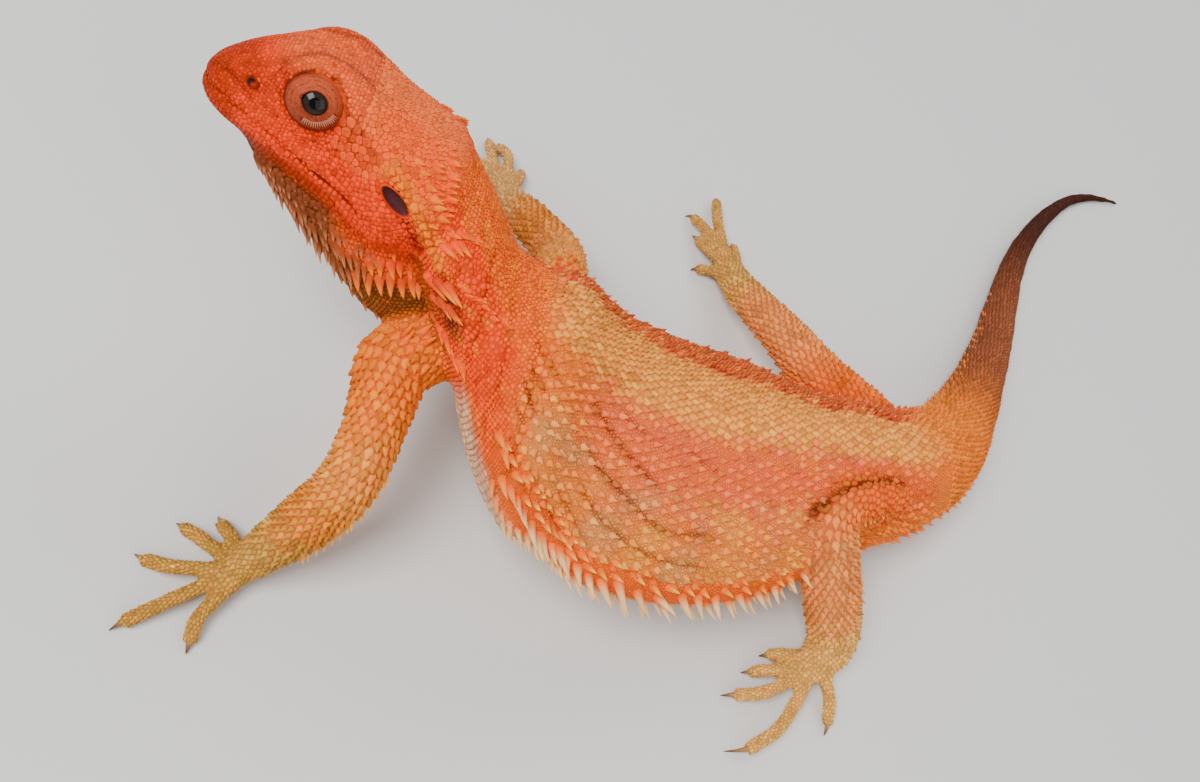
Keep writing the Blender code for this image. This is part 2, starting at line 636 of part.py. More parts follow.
def spine(name, base, direction, towards, length, material, growth):
    """A closed four-sided spine sunk into the skin, its point bent towards the tail."""
    width = 0.5 + length * SPINE_WIDTH / 2 + growth
    side = unit(np.cross(direction, towards))
    other = np.cross(side, direction)
    angles = np.linspace(0, 2 * math.pi, SPINE_SEGMENTS, endpoint=False)
    ring = np.outer(np.cos(angles), side) + np.outer(np.sin(angles), other)
    foot = base - direction * (SPINE_SINK + growth) + ring * width
    middle = base + direction * length * 0.45 + ring * width * 0.6
    tip = base + direction * (length + growth * 3) + towards * length * 0.15
    tip[2] = max(tip[2], 0.4)
    return solid(name, np.array([foot, middle]), material, end_point=tip)


def build_digit(claw_name, points, roots, hand_material, claw_material):
    """One digit from the palm to its last joint, and the claw beyond it."""
    root, knuckle, end, tip = (np.array(point) for point in points)
    thick = DIGIT_RADIUS
    line = [(*root, thick, thick), (*knuckle, thick, thick)]
    line += [(*end, thick * 0.85, thick * 0.85)]
    curve = limb_curve(line, 10)
    rings = tube_rings(curve, np.linspace(0, 1, 7), DIGIT_SEGMENTS)
    roots.append(solid("digit", rings, hand_material))
    ahead = unit(end - knuckle)
    start = end + ahead * PART_GAP
    bend = start + ahead * CLAW_LENGTH * 0.45
    claw_line = [(*start, CLAW_RADIUS, CLAW_RADIUS), (*bend, CLAW_RADIUS * 0.8, CLAW_RADIUS * 0.8)]
    claw_line.append((*tip, 0.2, 0.2))
    rings = tube_rings(limb_curve(claw_line, 12), (0, 0.3, 0.6, 0.85), CLAW_SEGMENTS)
    solid(claw_name, rings, claw_material, end_point=tip)


def limb_lengths(line, parts, grow, floor):
    """Rings of the upper limb, the lower limb and the palm or sole, each starting where the last ends."""
    curve = limb_curve(line, 12)
    lengths = []
    for number, count in enumerate(LIMB_RINGS):
        shares = np.linspace(parts[number], parts[number + 1], count)
        lengths.append(tube_rings(curve, shares, LIMB_SEGMENTS, grow, floor))
    return lengths


def build_limb(names, line, parts, digits, materials):
    """Upper limb, lower limb and hand or foot along one line, with digits and claws."""
    pieces = []
    lengths = limb_lengths(line, parts, 0.0, True)
    for name, rings, material in zip(names, lengths, materials):
        if pieces:
            forward = unit((rings[1] - rings[0]).mean(0))
            rings[0] += forward * PART_GAP
        pieces.append(solid(name, rings, material))
    roots = []
    for number, points in enumerate(digits):
        build_digit(f"{names[2]}_claw_{number + 1}", points, roots, materials[2], materials[3])
    join(pieces[2], roots, "UNION")


def limb_cutter(line, parts, material):
    """Shape of a limb as far as the wrist or ankle, larger by the gap, to cut its socket."""
    upper, lower, _ = limb_lengths(line, parts, PART_GAP, False)
    before = upper[:1] + (upper[:1] - upper[1:2]).mean(1, keepdims=True) * 0.2
    return solid("limb cutter", np.concatenate([before, upper, lower[1:]]), material)


def limb_names(limb, side):
    """Names of the three lengths of an arm or a leg."""
    lengths = {"arm": ("upper_arm", "forearm", "hand"), "leg": ("thigh", "shin", "foot")}
    return [f"{length}_{side}" for length in lengths[limb]]


def arm_cutters(material):
    """Cutters for both arms."""
    return [limb_cutter(line, ARM_PARTS, material) for line in (LEFT_ARM, RIGHT_ARM)]


def leg_cutters(material):
    """Cutters for both hind legs."""
    return [limb_cutter(line, LEG_PARTS, material) for line in (LEFT_LEG, RIGHT_LEG)]


def grown(name, places, growth, material):
    """The body line between these places as a solid, larger by a share of its size."""
    rings = body_rings(places, BODY_SEGMENTS)
    middle = rings.mean(1, keepdims=True)
    return solid(name, middle + (rings - middle) * (1 + growth), material)


def finish_surfaces():
    """Smooth shading on round faces, sharp edges where parts are cut flat."""
    for item in bpy.context.scene.objects:
        item.data.polygons.foreach_set("use_smooth", [True] * len(item.data.polygons))
        item.data.set_sharp_from_angle(angle=math.radians(50))


def centre_on_floor():
    """Moves all parts together so that the middle of their box is over the origin."""
    corners = np.array(
        [tuple(corner.co) for item in bpy.context.scene.objects for corner in item.data.vertices]
    )
    middle = (corners.min(0) + corners.max(0)) / 2
    shift = Matrix.Translation((-middle[0], -middle[1], -corners[:, 2].min()))
    for item in bpy.context.scene.objects:
        item.data.transform(shift)


def main():
    """Builds every part in place."""
    clear_scene()
    head_skin = skin("head skin", (0.62, 0.24, 0.10), 0.6)
    jaw_skin = skin("lower jaw skin", (0.60, 0.30, 0.16), 0.6)
    beard_skin = skin("beard skin", (0.30, 0.22, 0.18), 0.65)
    neck_skin = skin("neck skin", (0.66, 0.30, 0.12), 0.6)
    trunk_skin = skin("trunk skin", (0.68, 0.34, 0.18), 0.6)
    tail_skin = skin("tail skin", (0.36, 0.20, 0.12), 0.6)
    limb_skin = skin("limb skin", (0.62, 0.36, 0.16), 0.6)
    foot_skin = skin("foot skin", (0.60, 0.46, 0.26), 0.6)
    claw_horn = skin("claw horn", (0.22, 0.15, 0.06), 0.35)
    eye_glass = skin("eye", (0.02, 0.015, 0.012), 0.08)

    build_head(head_skin, jaw_skin)
    build_eyes(eye_glass)

    places = np.linspace(NECK_END + 0.04, TORSO_END, 25)
    torso = solid("torso", body_rings(places, BODY_SEGMENTS), trunk_skin)
    fringe = spine_row("fringe spine", body_point, FRINGE, trunk_skin)
    fringe += spine_row("low fringe spine", body_point, LOW_FRINGE, trunk_skin)
    fringe += spine_row("hip spine", body_point, HIP_FRINGE, trunk_skin)
    join(torso, fringe, "UNION")
    join(torso, arm_cutters(limb_skin) + leg_cutters(limb_skin), "DIFFERENCE")

    places = np.concatenate([[0.035], np.linspace(0.3, NECK_END, 8)])
    neck = solid("neck", body_rings(places, BODY_SEGMENTS), neck_skin)
    spines = spine_row("jaw corner spine", body_point, JAW_CORNER, neck_skin)
    spines += spine_row("neck spine", body_point, NECK_CLUSTER, neck_skin)
    spines += spine_row("nape spine", body_point, NAPE, neck_skin)
    join(neck, spines, "UNION")
    join(neck, arm_cutters(limb_skin), "DIFFERENCE")

    tail_parts = (
        ("tail_base", TORSO_END, TAIL_BASE_END, 8),
        ("tail_mid", TAIL_BASE_END, TAIL_MID_END, 8),
        ("tail_end", TAIL_MID_END, TAIL_END_END, 7),
        ("tail_tip", TAIL_END_END, TAIL_TIP_END, 8),
    )
    for name, start, end, count in tail_parts:
        places = np.linspace(start + 0.02, end, count)
        tail = solid(name, body_rings(places, TAIL_SEGMENTS), tail_skin)
        if name == "tail_base":
            join(tail, spine_row("tail spine", body_point, TAIL_FRINGE, tail_skin), "UNION")

    places = np.linspace(0, len(HEAD_SECTIONS) - 1, HEAD_RINGS)
    rings = from_head(head_rings(places, HEAD_SEGMENTS, -PART_GAP))
    around = [solid("head shape", rings, head_skin)]
    around.append(grown("neck shape", np.linspace(-0.3, 3.4, 10), 0.025, neck_skin))
    around += arm_cutters(limb_skin)
    around += spine_row("corner shape", body_point, JAW_CORNER, neck_skin, PART_GAP * 1.5)
    around += spine_row("neck spine shape", body_point, NECK_CLUSTER, neck_skin, PART_GAP * 1.5)
    build_beard(beard_skin, around)

    skins = (limb_skin, limb_skin, foot_skin, claw_horn)
    build_limb(limb_names("arm", "left"), LEFT_ARM, ARM_PARTS, LEFT_HAND_DIGITS, skins)
    build_limb(limb_names("arm", "right"), RIGHT_ARM, ARM_PARTS, RIGHT_HAND_DIGITS, skins)
    build_limb(limb_names("leg", "left"), LEFT_LEG, LEG_PARTS, LEFT_FOOT_DIGITS, skins)
    build_limb(limb_names("leg", "right"), RIGHT_LEG, LEG_PARTS, RIGHT_FOOT_DIGITS, skins)
    finish_surfaces()
    centre_on_floor()


main()
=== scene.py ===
"""Bearded dragon, life size: skin, scales, spines, eyes, lids and claws over the solid parts."""

import math
from collections import namedtuple

import bmesh
import bpy
import numpy as np
from bpy.props import FloatProperty, FloatVectorProperty, IntProperty, PointerProperty
from mathutils import Matrix, Vector
from mathutils.bvhtree import BVHTree
from mathutils.kdtree import KDTree


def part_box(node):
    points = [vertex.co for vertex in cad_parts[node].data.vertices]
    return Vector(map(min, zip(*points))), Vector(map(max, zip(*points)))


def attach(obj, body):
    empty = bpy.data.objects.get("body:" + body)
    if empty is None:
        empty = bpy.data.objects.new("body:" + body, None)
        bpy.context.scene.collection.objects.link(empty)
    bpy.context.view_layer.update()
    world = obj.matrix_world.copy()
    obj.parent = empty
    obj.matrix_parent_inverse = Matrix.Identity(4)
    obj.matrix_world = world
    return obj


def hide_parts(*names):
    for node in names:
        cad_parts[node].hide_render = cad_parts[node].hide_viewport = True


bl_info = {
    "name": "Bearded Dragon",
    "version": (1, 0, 0),
    "blender": (4, 5, 0),
    "location": "View3D > Sidebar > Dragon",
    "description": "Builds the skin, scales, spines, eyes and claws of a life-size bearded dragon",
    "category": "Object",
}

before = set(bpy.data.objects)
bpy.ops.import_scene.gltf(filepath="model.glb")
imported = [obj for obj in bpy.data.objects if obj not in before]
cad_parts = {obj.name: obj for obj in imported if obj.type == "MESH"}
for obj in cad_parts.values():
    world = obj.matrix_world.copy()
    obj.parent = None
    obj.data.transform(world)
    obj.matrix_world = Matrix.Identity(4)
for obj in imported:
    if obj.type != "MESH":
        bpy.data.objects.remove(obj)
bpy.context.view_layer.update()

MM = 0.001
GAP = 0.3

# Body line, one row every few millimetres from the back of the head to the tail tip: x, y, widest level,
# heading, pitch, roll, half width, height above, depth below, roundness above, roundness below
BODY_LINE = (
    (-66.4, -76.2, 66.9, 20, -12, 23, 19, 12.5, 13, 2.2, 2.2),
    (-56.5, -79.5, 59.5, 19, -16, 21, 19.5, 13.5, 14.5, 2.1, 2.2),
    (-45.5, -82, 50.5, 18, -12, 19, 20.5, 14.5, 17, 2, 2.2),
    (-34.4, -84, 44, 17, -6, 18, 27.5, 19.5, 23, 2, 2.7),
    (-23.8, -82.2, 37.6, 17, 0, 17, 36.5, 25, 26, 1.8, 2.9),
    (-14.6, -78.4, 28, 18, 0, 16, 40, 27, 18.5, 1.7, 2.5),
    (-5.1, -75.5, 24, 20, 0, 15, 43, 26.5, 17.5, 1.6, 2.6),
    (12.7, -66.5, 20, 23, 0, 13, 42, 26, 16.5, 1.55, 2.8),
    (31.7, -53.5, 18, 28, 0, 11, 37, 24.5, 15.5, 1.5, 3),
    (47, -42, 16, 32, 0, 8, 27.5, 23, 14.5, 1.55, 3),
    (56.9, -32.7, 15.5, 36, 0, 6, 23, 20.5, 14.5, 1.75, 2.8),
    (65.3, -26, 15.5, 41, 0, 4, 20, 18.5, 14.2, 1.9, 2.5),
    (71.5, -18.5, 15, 48, 0, 2, 18, 17, 13.5, 2, 2.3),
    (77.5, -9, 14.5, 58, 0, 0, 15.5, 14.5, 13.2, 2, 2.2),
    (82, 2, 12.5, 70, 0, 0, 13, 13, 12, 2, 2.2),
    (84.6, 17, 10.5, 80, 0, 0, 10.5, 11, 10.4, 2, 2.2),
    (86.2, 38, 8.2, 87, 0, 0, 8, 8.4, 8.3, 2, 2.2),
    (86, 60, 6.6, 92, 0, 0, 6.4, 6.6, 6.7, 2, 2.2),
    (84.4, 81, 5.4, 94, 0, 0, 5.2, 5.2, 5.5, 2, 2.2),
    (83.2, 100, 4.6, 91, 0, 0, 4.3, 4.3, 4.7, 2, 2.2),
    (84.2, 119.5, 3.8, 83, 0, 0, 3.6, 3.6, 3.9, 2, 2.2),
    (88, 139.8, 3.1, 74, 0, 0, 2.9, 2.9, 3.2, 2, 2.2),
    (94.2, 157.6, 2.3, 62, 0, 0, 2.2, 2.2, 2.4, 2, 2.2),
    (102.8, 169.6, 1.7, 47, 0, 0, 1.6, 1.6, 1.8, 2, 2.2),
    (113.9, 178, 1.1, 34, 0, 0, 0.9, 1, 1.2, 2, 2.2),
)

BODY_ROWS = len(BODY_LINE) - 1

# Head frame: origin between the ears, x to the snout, y to the left ear, z to the crown. Its turn is the
# heading, pitch and roll of its backward axis in degrees
HEAD_ORIGIN = (-74.8, -77.0, 72.4)
HEAD_TURN = (20.25, -11.5, 23.0)
# x, half width, crown, widest level, underside, roundness above, roundness below
HEAD_SECTIONS = (
    (-9, 19.4, 9.6, -3, -16, 2.3, 2.2),
    (-4, 20.2, 11, -3.5, -16.6, 2.4, 2.3),
    (2, 20, 12.2, -4.5, -16.6, 2.5, 2.4),
    (8, 18.6, 13.2, -5, -16, 2.7, 2.4),
    (14, 16.4, 14.2, -4.5, -15, 3.1, 2.4),
    (20, 14.4, 15.2, -4, -13.8, 3.8, 2.4),
    (26, 12.8, 14.8, -3.8, -12.6, 3.8, 2.4),
    (31, 11.2, 12.6, -4, -11.6, 3.5, 2.4),
    (36, 9.4, 9.4, -4.2, -10.8, 3.2, 2.4),
    (40, 7.6, 6.4, -4.2, -10, 2.9, 2.4),
    (43, 5.6, 3.4, -4, -8.8, 2.6, 2.3),
    (44.8, 3.4, 1, -3.8, -7.4, 2.3, 2.2),
    (45.6, 1.4, -1.4, -3.6, -5.6, 2, 2),
)
# Swellings on each side of the head: x, y, z, reach, then the push in x, y, z
HEAD_SWELLINGS = (
    (30, 9.5, 13.5, 4.5, 0, 0.6, 1.2),
    (22.5, 11.5, 15, 5.5, 0, 0.9, 2.2),
    (15, 13.5, 12, 5, 0, 0.8, 1.4),
    (33.5, 10.5, 2.5, 4, 0, -0.7, 0),
    (9, 17.5, 4, 6, 0, 0.8, 0.4),
    (2, 19, -11, 7, 0, 1.6, -0.6),
    (37.5, 7.5, 3.6, 2.4, 0.2, 0.8, 0.6),
)
CROWN_DIP = (24, 0, 15.5, 5.5, 0, 0, -1.4)
LID_CENTRE = (24.2, 11.8, 6.7)
LID_FACING = (0, 0.94, 0.34)
LID_SIZE = (6.2, 5.58, 3.4)
EYE_RADIUS = 4.4
EYE_SETBACK = 0.1
EAR_CENTRE = (2.2, 20, -1)
NOSTRIL_CENTRE = (36.6, 9.2, 2.7)
# Mouth line from the side, snout to corner: x, z
MOUTH_LINE = (
    (46.5, -3.5), (45, -3.5), (36, -3.9), (29, -4.7), (23.8, -5.6), (18.9, -6.5), (12, -7),
    (6.5, -8.3),
)
# Lines on the side of the head: colour, how strong, half width, push outwards, then corners as x, y, z
# The dark lines of brow and snout are partly darker skin and partly painted shade in the grooves they cut;
# the lines behind the ear and below the jaw corner are painted shade; the ridge line is the ridge's own
# colour.
HEAD_LINES = (
    ("brow", 0.75, 1.3, -0.3, (
        (33, 8.3, 9.5), (30.7, 7.8, 12.6), (26.7, 6.6, 14.6), (21.6, 7.7, 15.9), (15.5, 8.2, 14.6),
    )),
    ("snout", 0.85, 0.8, -0.45, ((44.5, 3, 0.3), (41.5, 5.8, 1.2), (38, 8.5, 0.9), (35.6, 9.2, -0.2))),
    ("brow", 0.3, 1.2, 0.45, ((36, 7.6, 7.4), (32, 9.6, 9.8), (27, 11.2, 13.2))),
    ("brow", 0.45, 1.8, -0.35, ((33, 9.8, 3), (31.6, 10.3, 6.8))),
    ("snout", 0.75, 1, -0.2, ((17.8, 14.8, 5.5), (14.5, 16.6, 3), (11, 17.6, 2))),
    ("snout", 0.6, 0.9, -0.15, ((17, 14.8, 8.5), (13, 16.2, 6), (8.5, 17.6, 4))),
    ("ridge", 0.75, 1.9, 1.4, (
        (5.5, 18.6, 4.4), (1.7, 19.4, 2.4), (-3.3, 20.2, -0.8), (-7.8, 19.6, -5.3), (-12.1, 20.8, -8.9),
    )),
    ("ear", 0.75, 1, -1, (
        (-1.2, 20.5, -3.6), (-3.4, 20.6, -5), (-7.4, 18.3, -9.6), (-9.6, 17.6, -13.5),
    )),
    ("crease_shade", 0.9, 3.2, -0.5, ((-15.5, 21.3, -14), (-18.1, 22.9, -17), (-20.5, 24, -21))),
)
# Crease where the left flank lies over the thigh, darkened with painted shade, in millimetres: half width,
# push outwards, corners
THIGH_CREASE = (1.5, -1.3, (
    (48.6, -68.5, 30), (49.4, -62, 36), (53.8, -52.3, 39.5), (59.8, -44.6, 37.8), (67.4, -37.4, 34.5),
))
# Beard: x, half width, top, widest level, underside, roundness
BEARD_SECTIONS = (
    (34, 5, -8, -10, -12.8, 2),
    (29, 8, -8, -11.5, -15.6, 2),
    (22, 11, -9, -13.5, -19.5, 2.1),
    (14, 13.5, -9, -16, -24, 2.2),
    (6, 15.2, -9, -18, -29.5, 2.2),
    (-2, 15.6, -9, -21, -35, 2.1),
    (-9, 14.6, -10, -24, -38, 2),
    (-15, 12.4, -12, -25, -37, 2),
    (-20, 8.6, -15, -25.5, -33, 2),
    (-23, 4.5, -19, -25.5, -29, 2),
)

# Limb lines: x, y, z, half thickness sideways, half thickness upwards
LIMBS = {
    "left_arm": (
        (-44, -86, 42, 8, 8), (-57.5, -99, 41.5, 9.6, 9.6), (-50.5, -113, 37, 6.8, 6.8),
        (-46, -128.5, 30.5, 6.6, 6.6), (-49.5, -137, 20.5, 6.8, 6.8), (-54.7, -146.5, 9.5, 5, 5),
        (-56.6, -149.4, 6.2, 5.4, 4.4), (-58, -152.4, 4.6, 5, 3.4), (-58.6, -153.8, 3.8, 3.6, 2.6),
    ),
    "right_arm": (
        (-36, -64, 38, 8, 8), (-38, -52, 35, 8, 8), (-41, -42, 28, 6.8, 6.8),
        (-43.5, -30, 18, 6.6, 6.6), (-55, -23, 13.5, 6.4, 6.4), (-66.8, -16.3, 8.6, 5, 5),
        (-69.8, -13.6, 6, 5.6, 4.4), (-72.6, -10.8, 4.4, 5.2, 3.4), (-73.8, -9.4, 3.6, 3.8, 2.5),
    ),
    "left_leg": (
        (74.5, -25, 19, 7.4, 8), (72, -31, 22, 9, 9.5), (50, -60.5, 37.5, 6.2, 6.4),
        (66.5, -69, 18.5, 8.2, 8), (77, -74.5, 7.6, 7, 6.6),
        (76.2, -80, 5.2, 6.2, 4.8), (75.4, -85, 4.2, 5.2, 3.6), (75.1, -87.2, 3.6, 3.8, 2.6),
    ),
    "right_leg": (
        (73.5, -15.5, 15, 6.4, 6.8), (70, -13.5, 16.5, 8, 8), (53, -11.5, 17, 8.2, 8),
        (36, -10, 17.5, 7.8, 7.4), (25, -4.5, 16.5, 7, 6.8), (14, 3, 12, 6.2, 6),
        (4, 10, 7.5, 5.4, 5.4),
        (-1, 16, 5, 5.6, 4.5), (-4.4, 19.8, 4.2, 5.2, 3.4), (-5.8, 21.4, 3.6, 3.8, 2.6),
    ),
}
DIGIT_RADIUS = 1.75
CLAW_CUFF = 0.9
# Digits: root, knuckle, last joint and end of the claw
DIGITS = {
    "left_arm": (
        ((-57.5, -148, 5), (-63, -145.4, 4.2), (-67, -143.6, 2), (-69.8, -141.9, 0.5)),
        ((-58.5, -150.3, 4.6), (-67, -149.6, 4.4), (-72.6, -149.4, 2.2), (-76, -149, 0.5)),
        ((-59, -152, 4.6), (-67.5, -158.6, 4.6), (-74.4, -160.2, 2.2), (-78.2, -160.2, 0.5)),
        ((-57.6, -152, 4.6), (-63.6, -164.4, 4.6), (-68.4, -173, 2.2), (-70.3, -176.9, 0.5)),
        ((-54.8, -151.5, 4.6), (-57.6, -163, 4.4), (-55.2, -168.4, 2), (-53.8, -171.6, 0.5)),
    ),
    "right_arm": (
        ((-72, -12.5, 4.6), (-79, -13.4, 4), (-83, -13, 2), (-86, -12.2, 0.5)),
        ((-73, -11, 4.6), (-80.6, -8.6, 4.4), (-84.8, -5.2, 2.2), (-87, -2.8, 0.5)),
        ((-73.4, -10.2, 4.6), (-80.6, -4.2, 4.6), (-86.6, 3.6, 2.2), (-89, 6.9, 0.5)),
        ((-72.6, -9.6, 4.6), (-77.6, 1.6, 4.6), (-82.6, 5.2, 2.2), (-85.4, 7.2, 0.5)),
        ((-70.5, -10.5, 4.6), (-71.2, -4, 4.4), (-72.8, 1.2, 2), (-73.4, 4.6, 0.5)),
    ),
    "left_leg": (
        ((73.5, -82, 4.4), (68, -84.6, 4.2), (64.8, -86.6, 2.2), (62.2, -88.2, 0.5)),
        ((74, -84, 4.4), (67.6, -90, 4.4), (62.8, -93.4, 2.2), (59.8, -95.4, 0.5)),
        ((74.6, -85, 4.4), (68.6, -97, 4.6), (61.6, -101.6, 2.2), (57.6, -104.2, 0.5)),
        ((75.6, -85.5, 4.4), (76, -101.5, 4.6), (70.4, -111.6, 2.3), (64.4, -116.4, 0.5)),
        ((77, -80.5, 4.2), (83.4, -86.6, 4), (86.2, -92.4, 2), (87.4, -96.4, 0.5)),
    ),
    "right_leg": (
        ((0.5, 13.6, 4.2), (-5.6, 13.4, 4.4), (-9.6, 12.6, 2), (-12.2, 11, 0.5)),
        ((-1.5, 17, 4.4), (-9.6, 18.6, 4.6), (-15.2, 22.2, 2.2), (-18.2, 24, 0.5)),
        ((-3, 19, 4.4), (-12.4, 24.6, 5), (-20.4, 29.2, 2.4), (-24, 29.2, 0.5)),
        ((-3.5, 20, 4.4), (-13, 29.6, 4.8), (-17.8, 41, 2.4), (-18.8, 45, 0.5)),
        ((0, 19, 4.2), (-2.4, 24.6, 4), (-4.6, 28.6, 2), (-6.2, 31.6, 0.5)),
    ),
}

# Camera, in millimetres beside the animal before it is centred, and degrees
CAMERA_PLACE = (-13.0, -226.0, 254.03)
CAMERA_DOWN = 54.9
CAMERA_TURN = 35.53
CAMERA_LENS = 32.26

# Named colours of the animal
HUES = {
    "crown": (0.92, 0.12, 0.022), "brow": (0.34, 0.04, 0.014), "snout": (0.3, 0.026, 0.003),
    "cheek": (0.9, 0.048, 0.001), "temple": (0.95, 0.072, 0.0005), "jaw": (0.34, 0.022, 0.001),
    # ear: the dark of the ear openings, partly its own colour and partly painted shade of the pits; it is
    # also painted shade inside the nostrils and in the groove behind each ear.
    "lid": (0.38, 0.06, 0.022), "comb": (0.66, 0.23, 0.13), "ear": (0.075, 0.022, 0.024),
    "ridge": (0.95, 0.25, 0.003), "beard_front": (0.17, 0.036, 0.012), "beard_rear": (0.85, 0.07, 0.001),
    "pouch": (0.26, 0.075, 0.012), "neck": (0.95, 0.062, 0.0003), "neck_speckle": (0.95, 0.2, 0.006),
    # The dark crease colour on the next line is painted shade, laid into the creases and folds of skin and
    # scales.
    "crease_shade": (0.17, 0.038, 0.018), "back_band": (0.95, 0.33, 0.046), "back_edge": (0.6, 0.05, 0.02),
    "flank_pink": (0.95, 0.17, 0.055), "flank_orange": (0.95, 0.225, 0.018),
    "flank_olive": (0.66, 0.43, 0.14), "flank_yellow": (0.95, 0.43, 0.06),
    "fringe_band": (0.95, 0.15, 0.003), "fringe_tip": (0.95, 0.58, 0.25),
    "spine_orange": (0.95, 0.21, 0.01), "beard_tip": (0.46, 0.16, 0.065), "wrist": (0.7, 0.19, 0.01),
    "belly": (0.72, 0.4, 0.22), "arm_top": (0.95, 0.19, 0.006), "arm_low": (0.95, 0.31, 0.04),
    "hand": (0.6, 0.3, 0.05), "far_hand": (0.74, 0.38, 0.11), "far_shin": (0.9, 0.3, 0.06),
    "far_foot": (0.66, 0.33, 0.07), "thigh": (0.9, 0.14, 0.008), "shin": (0.86, 0.27, 0.06),
    "foot": (0.8, 0.42, 0.09), "tail_base": (0.95, 0.215, 0.01), "tail_mid": (0.29, 0.08, 0.032),
    "tail_tip": (0.07, 0.017, 0.008), "claw": (0.34, 0.17, 0.06),
}

# How each kind of scale stands: height and keel as shares of its size, reach of the point beyond its
# cell, lift of the point, gap to its neighbours in millimetres, sides, rings, dark rim and pale point
Style = namedtuple("Style", "height keel reach lift gap sides rings rim tip")
STYLES = {
    "plate": Style(0.07, 0.07, 0.4, 0.22, 0.05, 8, 3, 0.5, 0.06),
    "granule": Style(0.24, 0.04, 0.2, 0.16, 0.08, 6, 2, 0.3, 0.25),
    "fine": Style(0.26, 0.0, 0.15, 0.1, 0.04, 6, 1, 0.12, 0.0),
    "tubercle": Style(0.28, 0.16, 0.34, 0.34, 0.06, 8, 3, 0.1, 0.12),
    "pointed": Style(0.12, 0.08, 0.45, 0.34, 0.06, 8, 2, 0.35, 0.25),
    "keeled": Style(0.08, 0.2, 0.62, 0.32, 0.05, 8, 3, 0.5, 0.4),
    "spiny": Style(0.15, 0.14, 0.55, 0.42, 0.08, 8, 3, 0.4, 0.55),
    "smooth": Style(0.09, 0.0, 0.1, 0.05, 0.06, 6, 2, 0.3, 0.1),
    "net": Style(0.08, 0.0, 0.22, 0.2, 0.04, 8, 3, -0.55, 0.3),
    "digit": Style(0.12, 0.1, 0.4, 0.26, 0.05, 8, 2, 0.35, 0.25),
}
STYLE_NAMES = list(STYLES)


class DragonSettings(bpy.types.PropertyGroup):
    """Sizes of the skin and its scales."""

    voxel: FloatProperty(
        name="Skin cell", default=0.00095, unit="LENGTH",
        description="Edge of the cells that the skin is joined from",
    )
    coat_depth: FloatProperty(
        name="Coat depth", default=0.00035, unit="LENGTH",
        description="How far the skin lies inside the solid parts",
    )
    scale_relief: FloatProperty(
        name="Scale relief", default=1.0, min=0.2, max=3.0,
        description="Height of all scales, as a share of the usual",
    )
    colour_spread: FloatProperty(
        name="Colour spread", default=0.16, subtype="FACTOR",
        description="How much one scale differs from the next",
    )
    seed: IntProperty(name="Seed", default=7, description="Start of every random draw")
    floor_colour: FloatVectorProperty(
        name="Floor colour", default=(0.74, 0.73, 0.71), subtype="COLOR",
        description="Colour of the studio floor",
    )


def settings():
    """The values of the panel."""
    return bpy.context.scene.dragon_settings


def draws(number):
    """Random draws for one use, from the panel's seed."""
    return np.random.default_rng(settings().seed + number)


def coat_inset():
    """How far the skin lies inside the solid parts, in millimetres."""
    return settings().coat_depth / MM


def unit(vector):
    """Each row of vectors at length one."""
    vector = np.asarray(vector, float)
    return vector / np.maximum(np.linalg.norm(vector, axis=-1, keepdims=True), 1e-9)


def full_turn(count):
    """Angles spread evenly round a circle, from 0."""
    return np.linspace(0, 2 * math.pi, count, endpoint=False)


def bell(away, width):
    """1 where away is 0, falling smoothly on both sides: exp(-(away / width) squared)."""
    return np.exp(-((away / width) ** 2))


def lengths_along(points):
    """Distance along a line of points from the first to each of them."""
    return np.concatenate([[0], np.cumsum(np.linalg.norm(np.diff(points, axis=0), axis=1))])


def rows_at(places, marks, rows):
    """Rows at places between marks, with one mark for each given row."""
    return np.stack([np.interp(places, marks, column) for column in rows.T], -1)


def smooth_rows(rows, places):
    """Rows between the given rows: a cubic curve through every column, with slopes from the rows beside."""
    rows = np.asarray(rows, float)
    places = np.asarray(places, float)
    slopes = np.gradient(rows, axis=0)
    first = np.clip(places.astype(int), 0, len(rows) - 2)
    share = (places - first)[:, None]
    start = rows[first] * (1 + 2 * share) * (1 - share) ** 2 + slopes[first] * share * (1 - share) ** 2
    end = rows[first + 1] * share**2 * (3 - 2 * share) + slopes[first + 1] * share**2 * (share - 1)
    return start + end


def section(angles, half_width, above, below, round_above, round_below):
    """Superellipse: side = width times cos to the power 2/roundness, height likewise from sin."""
    sine = np.sin(angles)[None]
    cosine = np.cos(angles)[None]
    upper = sine >= 0
    roundness = np.where(upper, round_above[:, None], round_below[:, None])
    height = np.where(upper, above[:, None], below[:, None])
    side = half_width[:, None] * np.sign(cosine) * np.abs(cosine) ** (2 / roundness)
    return side, height * np.sign(sine) * np.abs(sine) ** (2 / roundness)


def tilted_axes(heading, pitch, roll):
    """Backward, left and up axes: headed level, then pitched, then rolled, by angles in radians."""
    along = np.stack([np.cos(heading) * np.cos(pitch), np.sin(heading) * np.cos(pitch), np.sin(pitch)], -1)
    level_side = np.stack([np.sin(heading), -np.cos(heading), 0 * heading], -1)
    level_up = np.cross(level_side, along)
    cosine = np.cos(roll)[..., None]
    sine = np.sin(roll)[..., None]
    return along, cosine * level_side + sine * level_up, cosine * level_up - sine * level_side


def body_axes(places):
    """Backward, left and up axes at rows of the body line."""
    return tilted_axes(*np.radians(smooth_rows(BODY_LINE, places)[:, 3:6]).T)


def head_axes():
    """Forward, left and up axes of the head."""
    back, side, up = tilted_axes(*np.radians(HEAD_TURN))
    return np.array([-back, side, up])


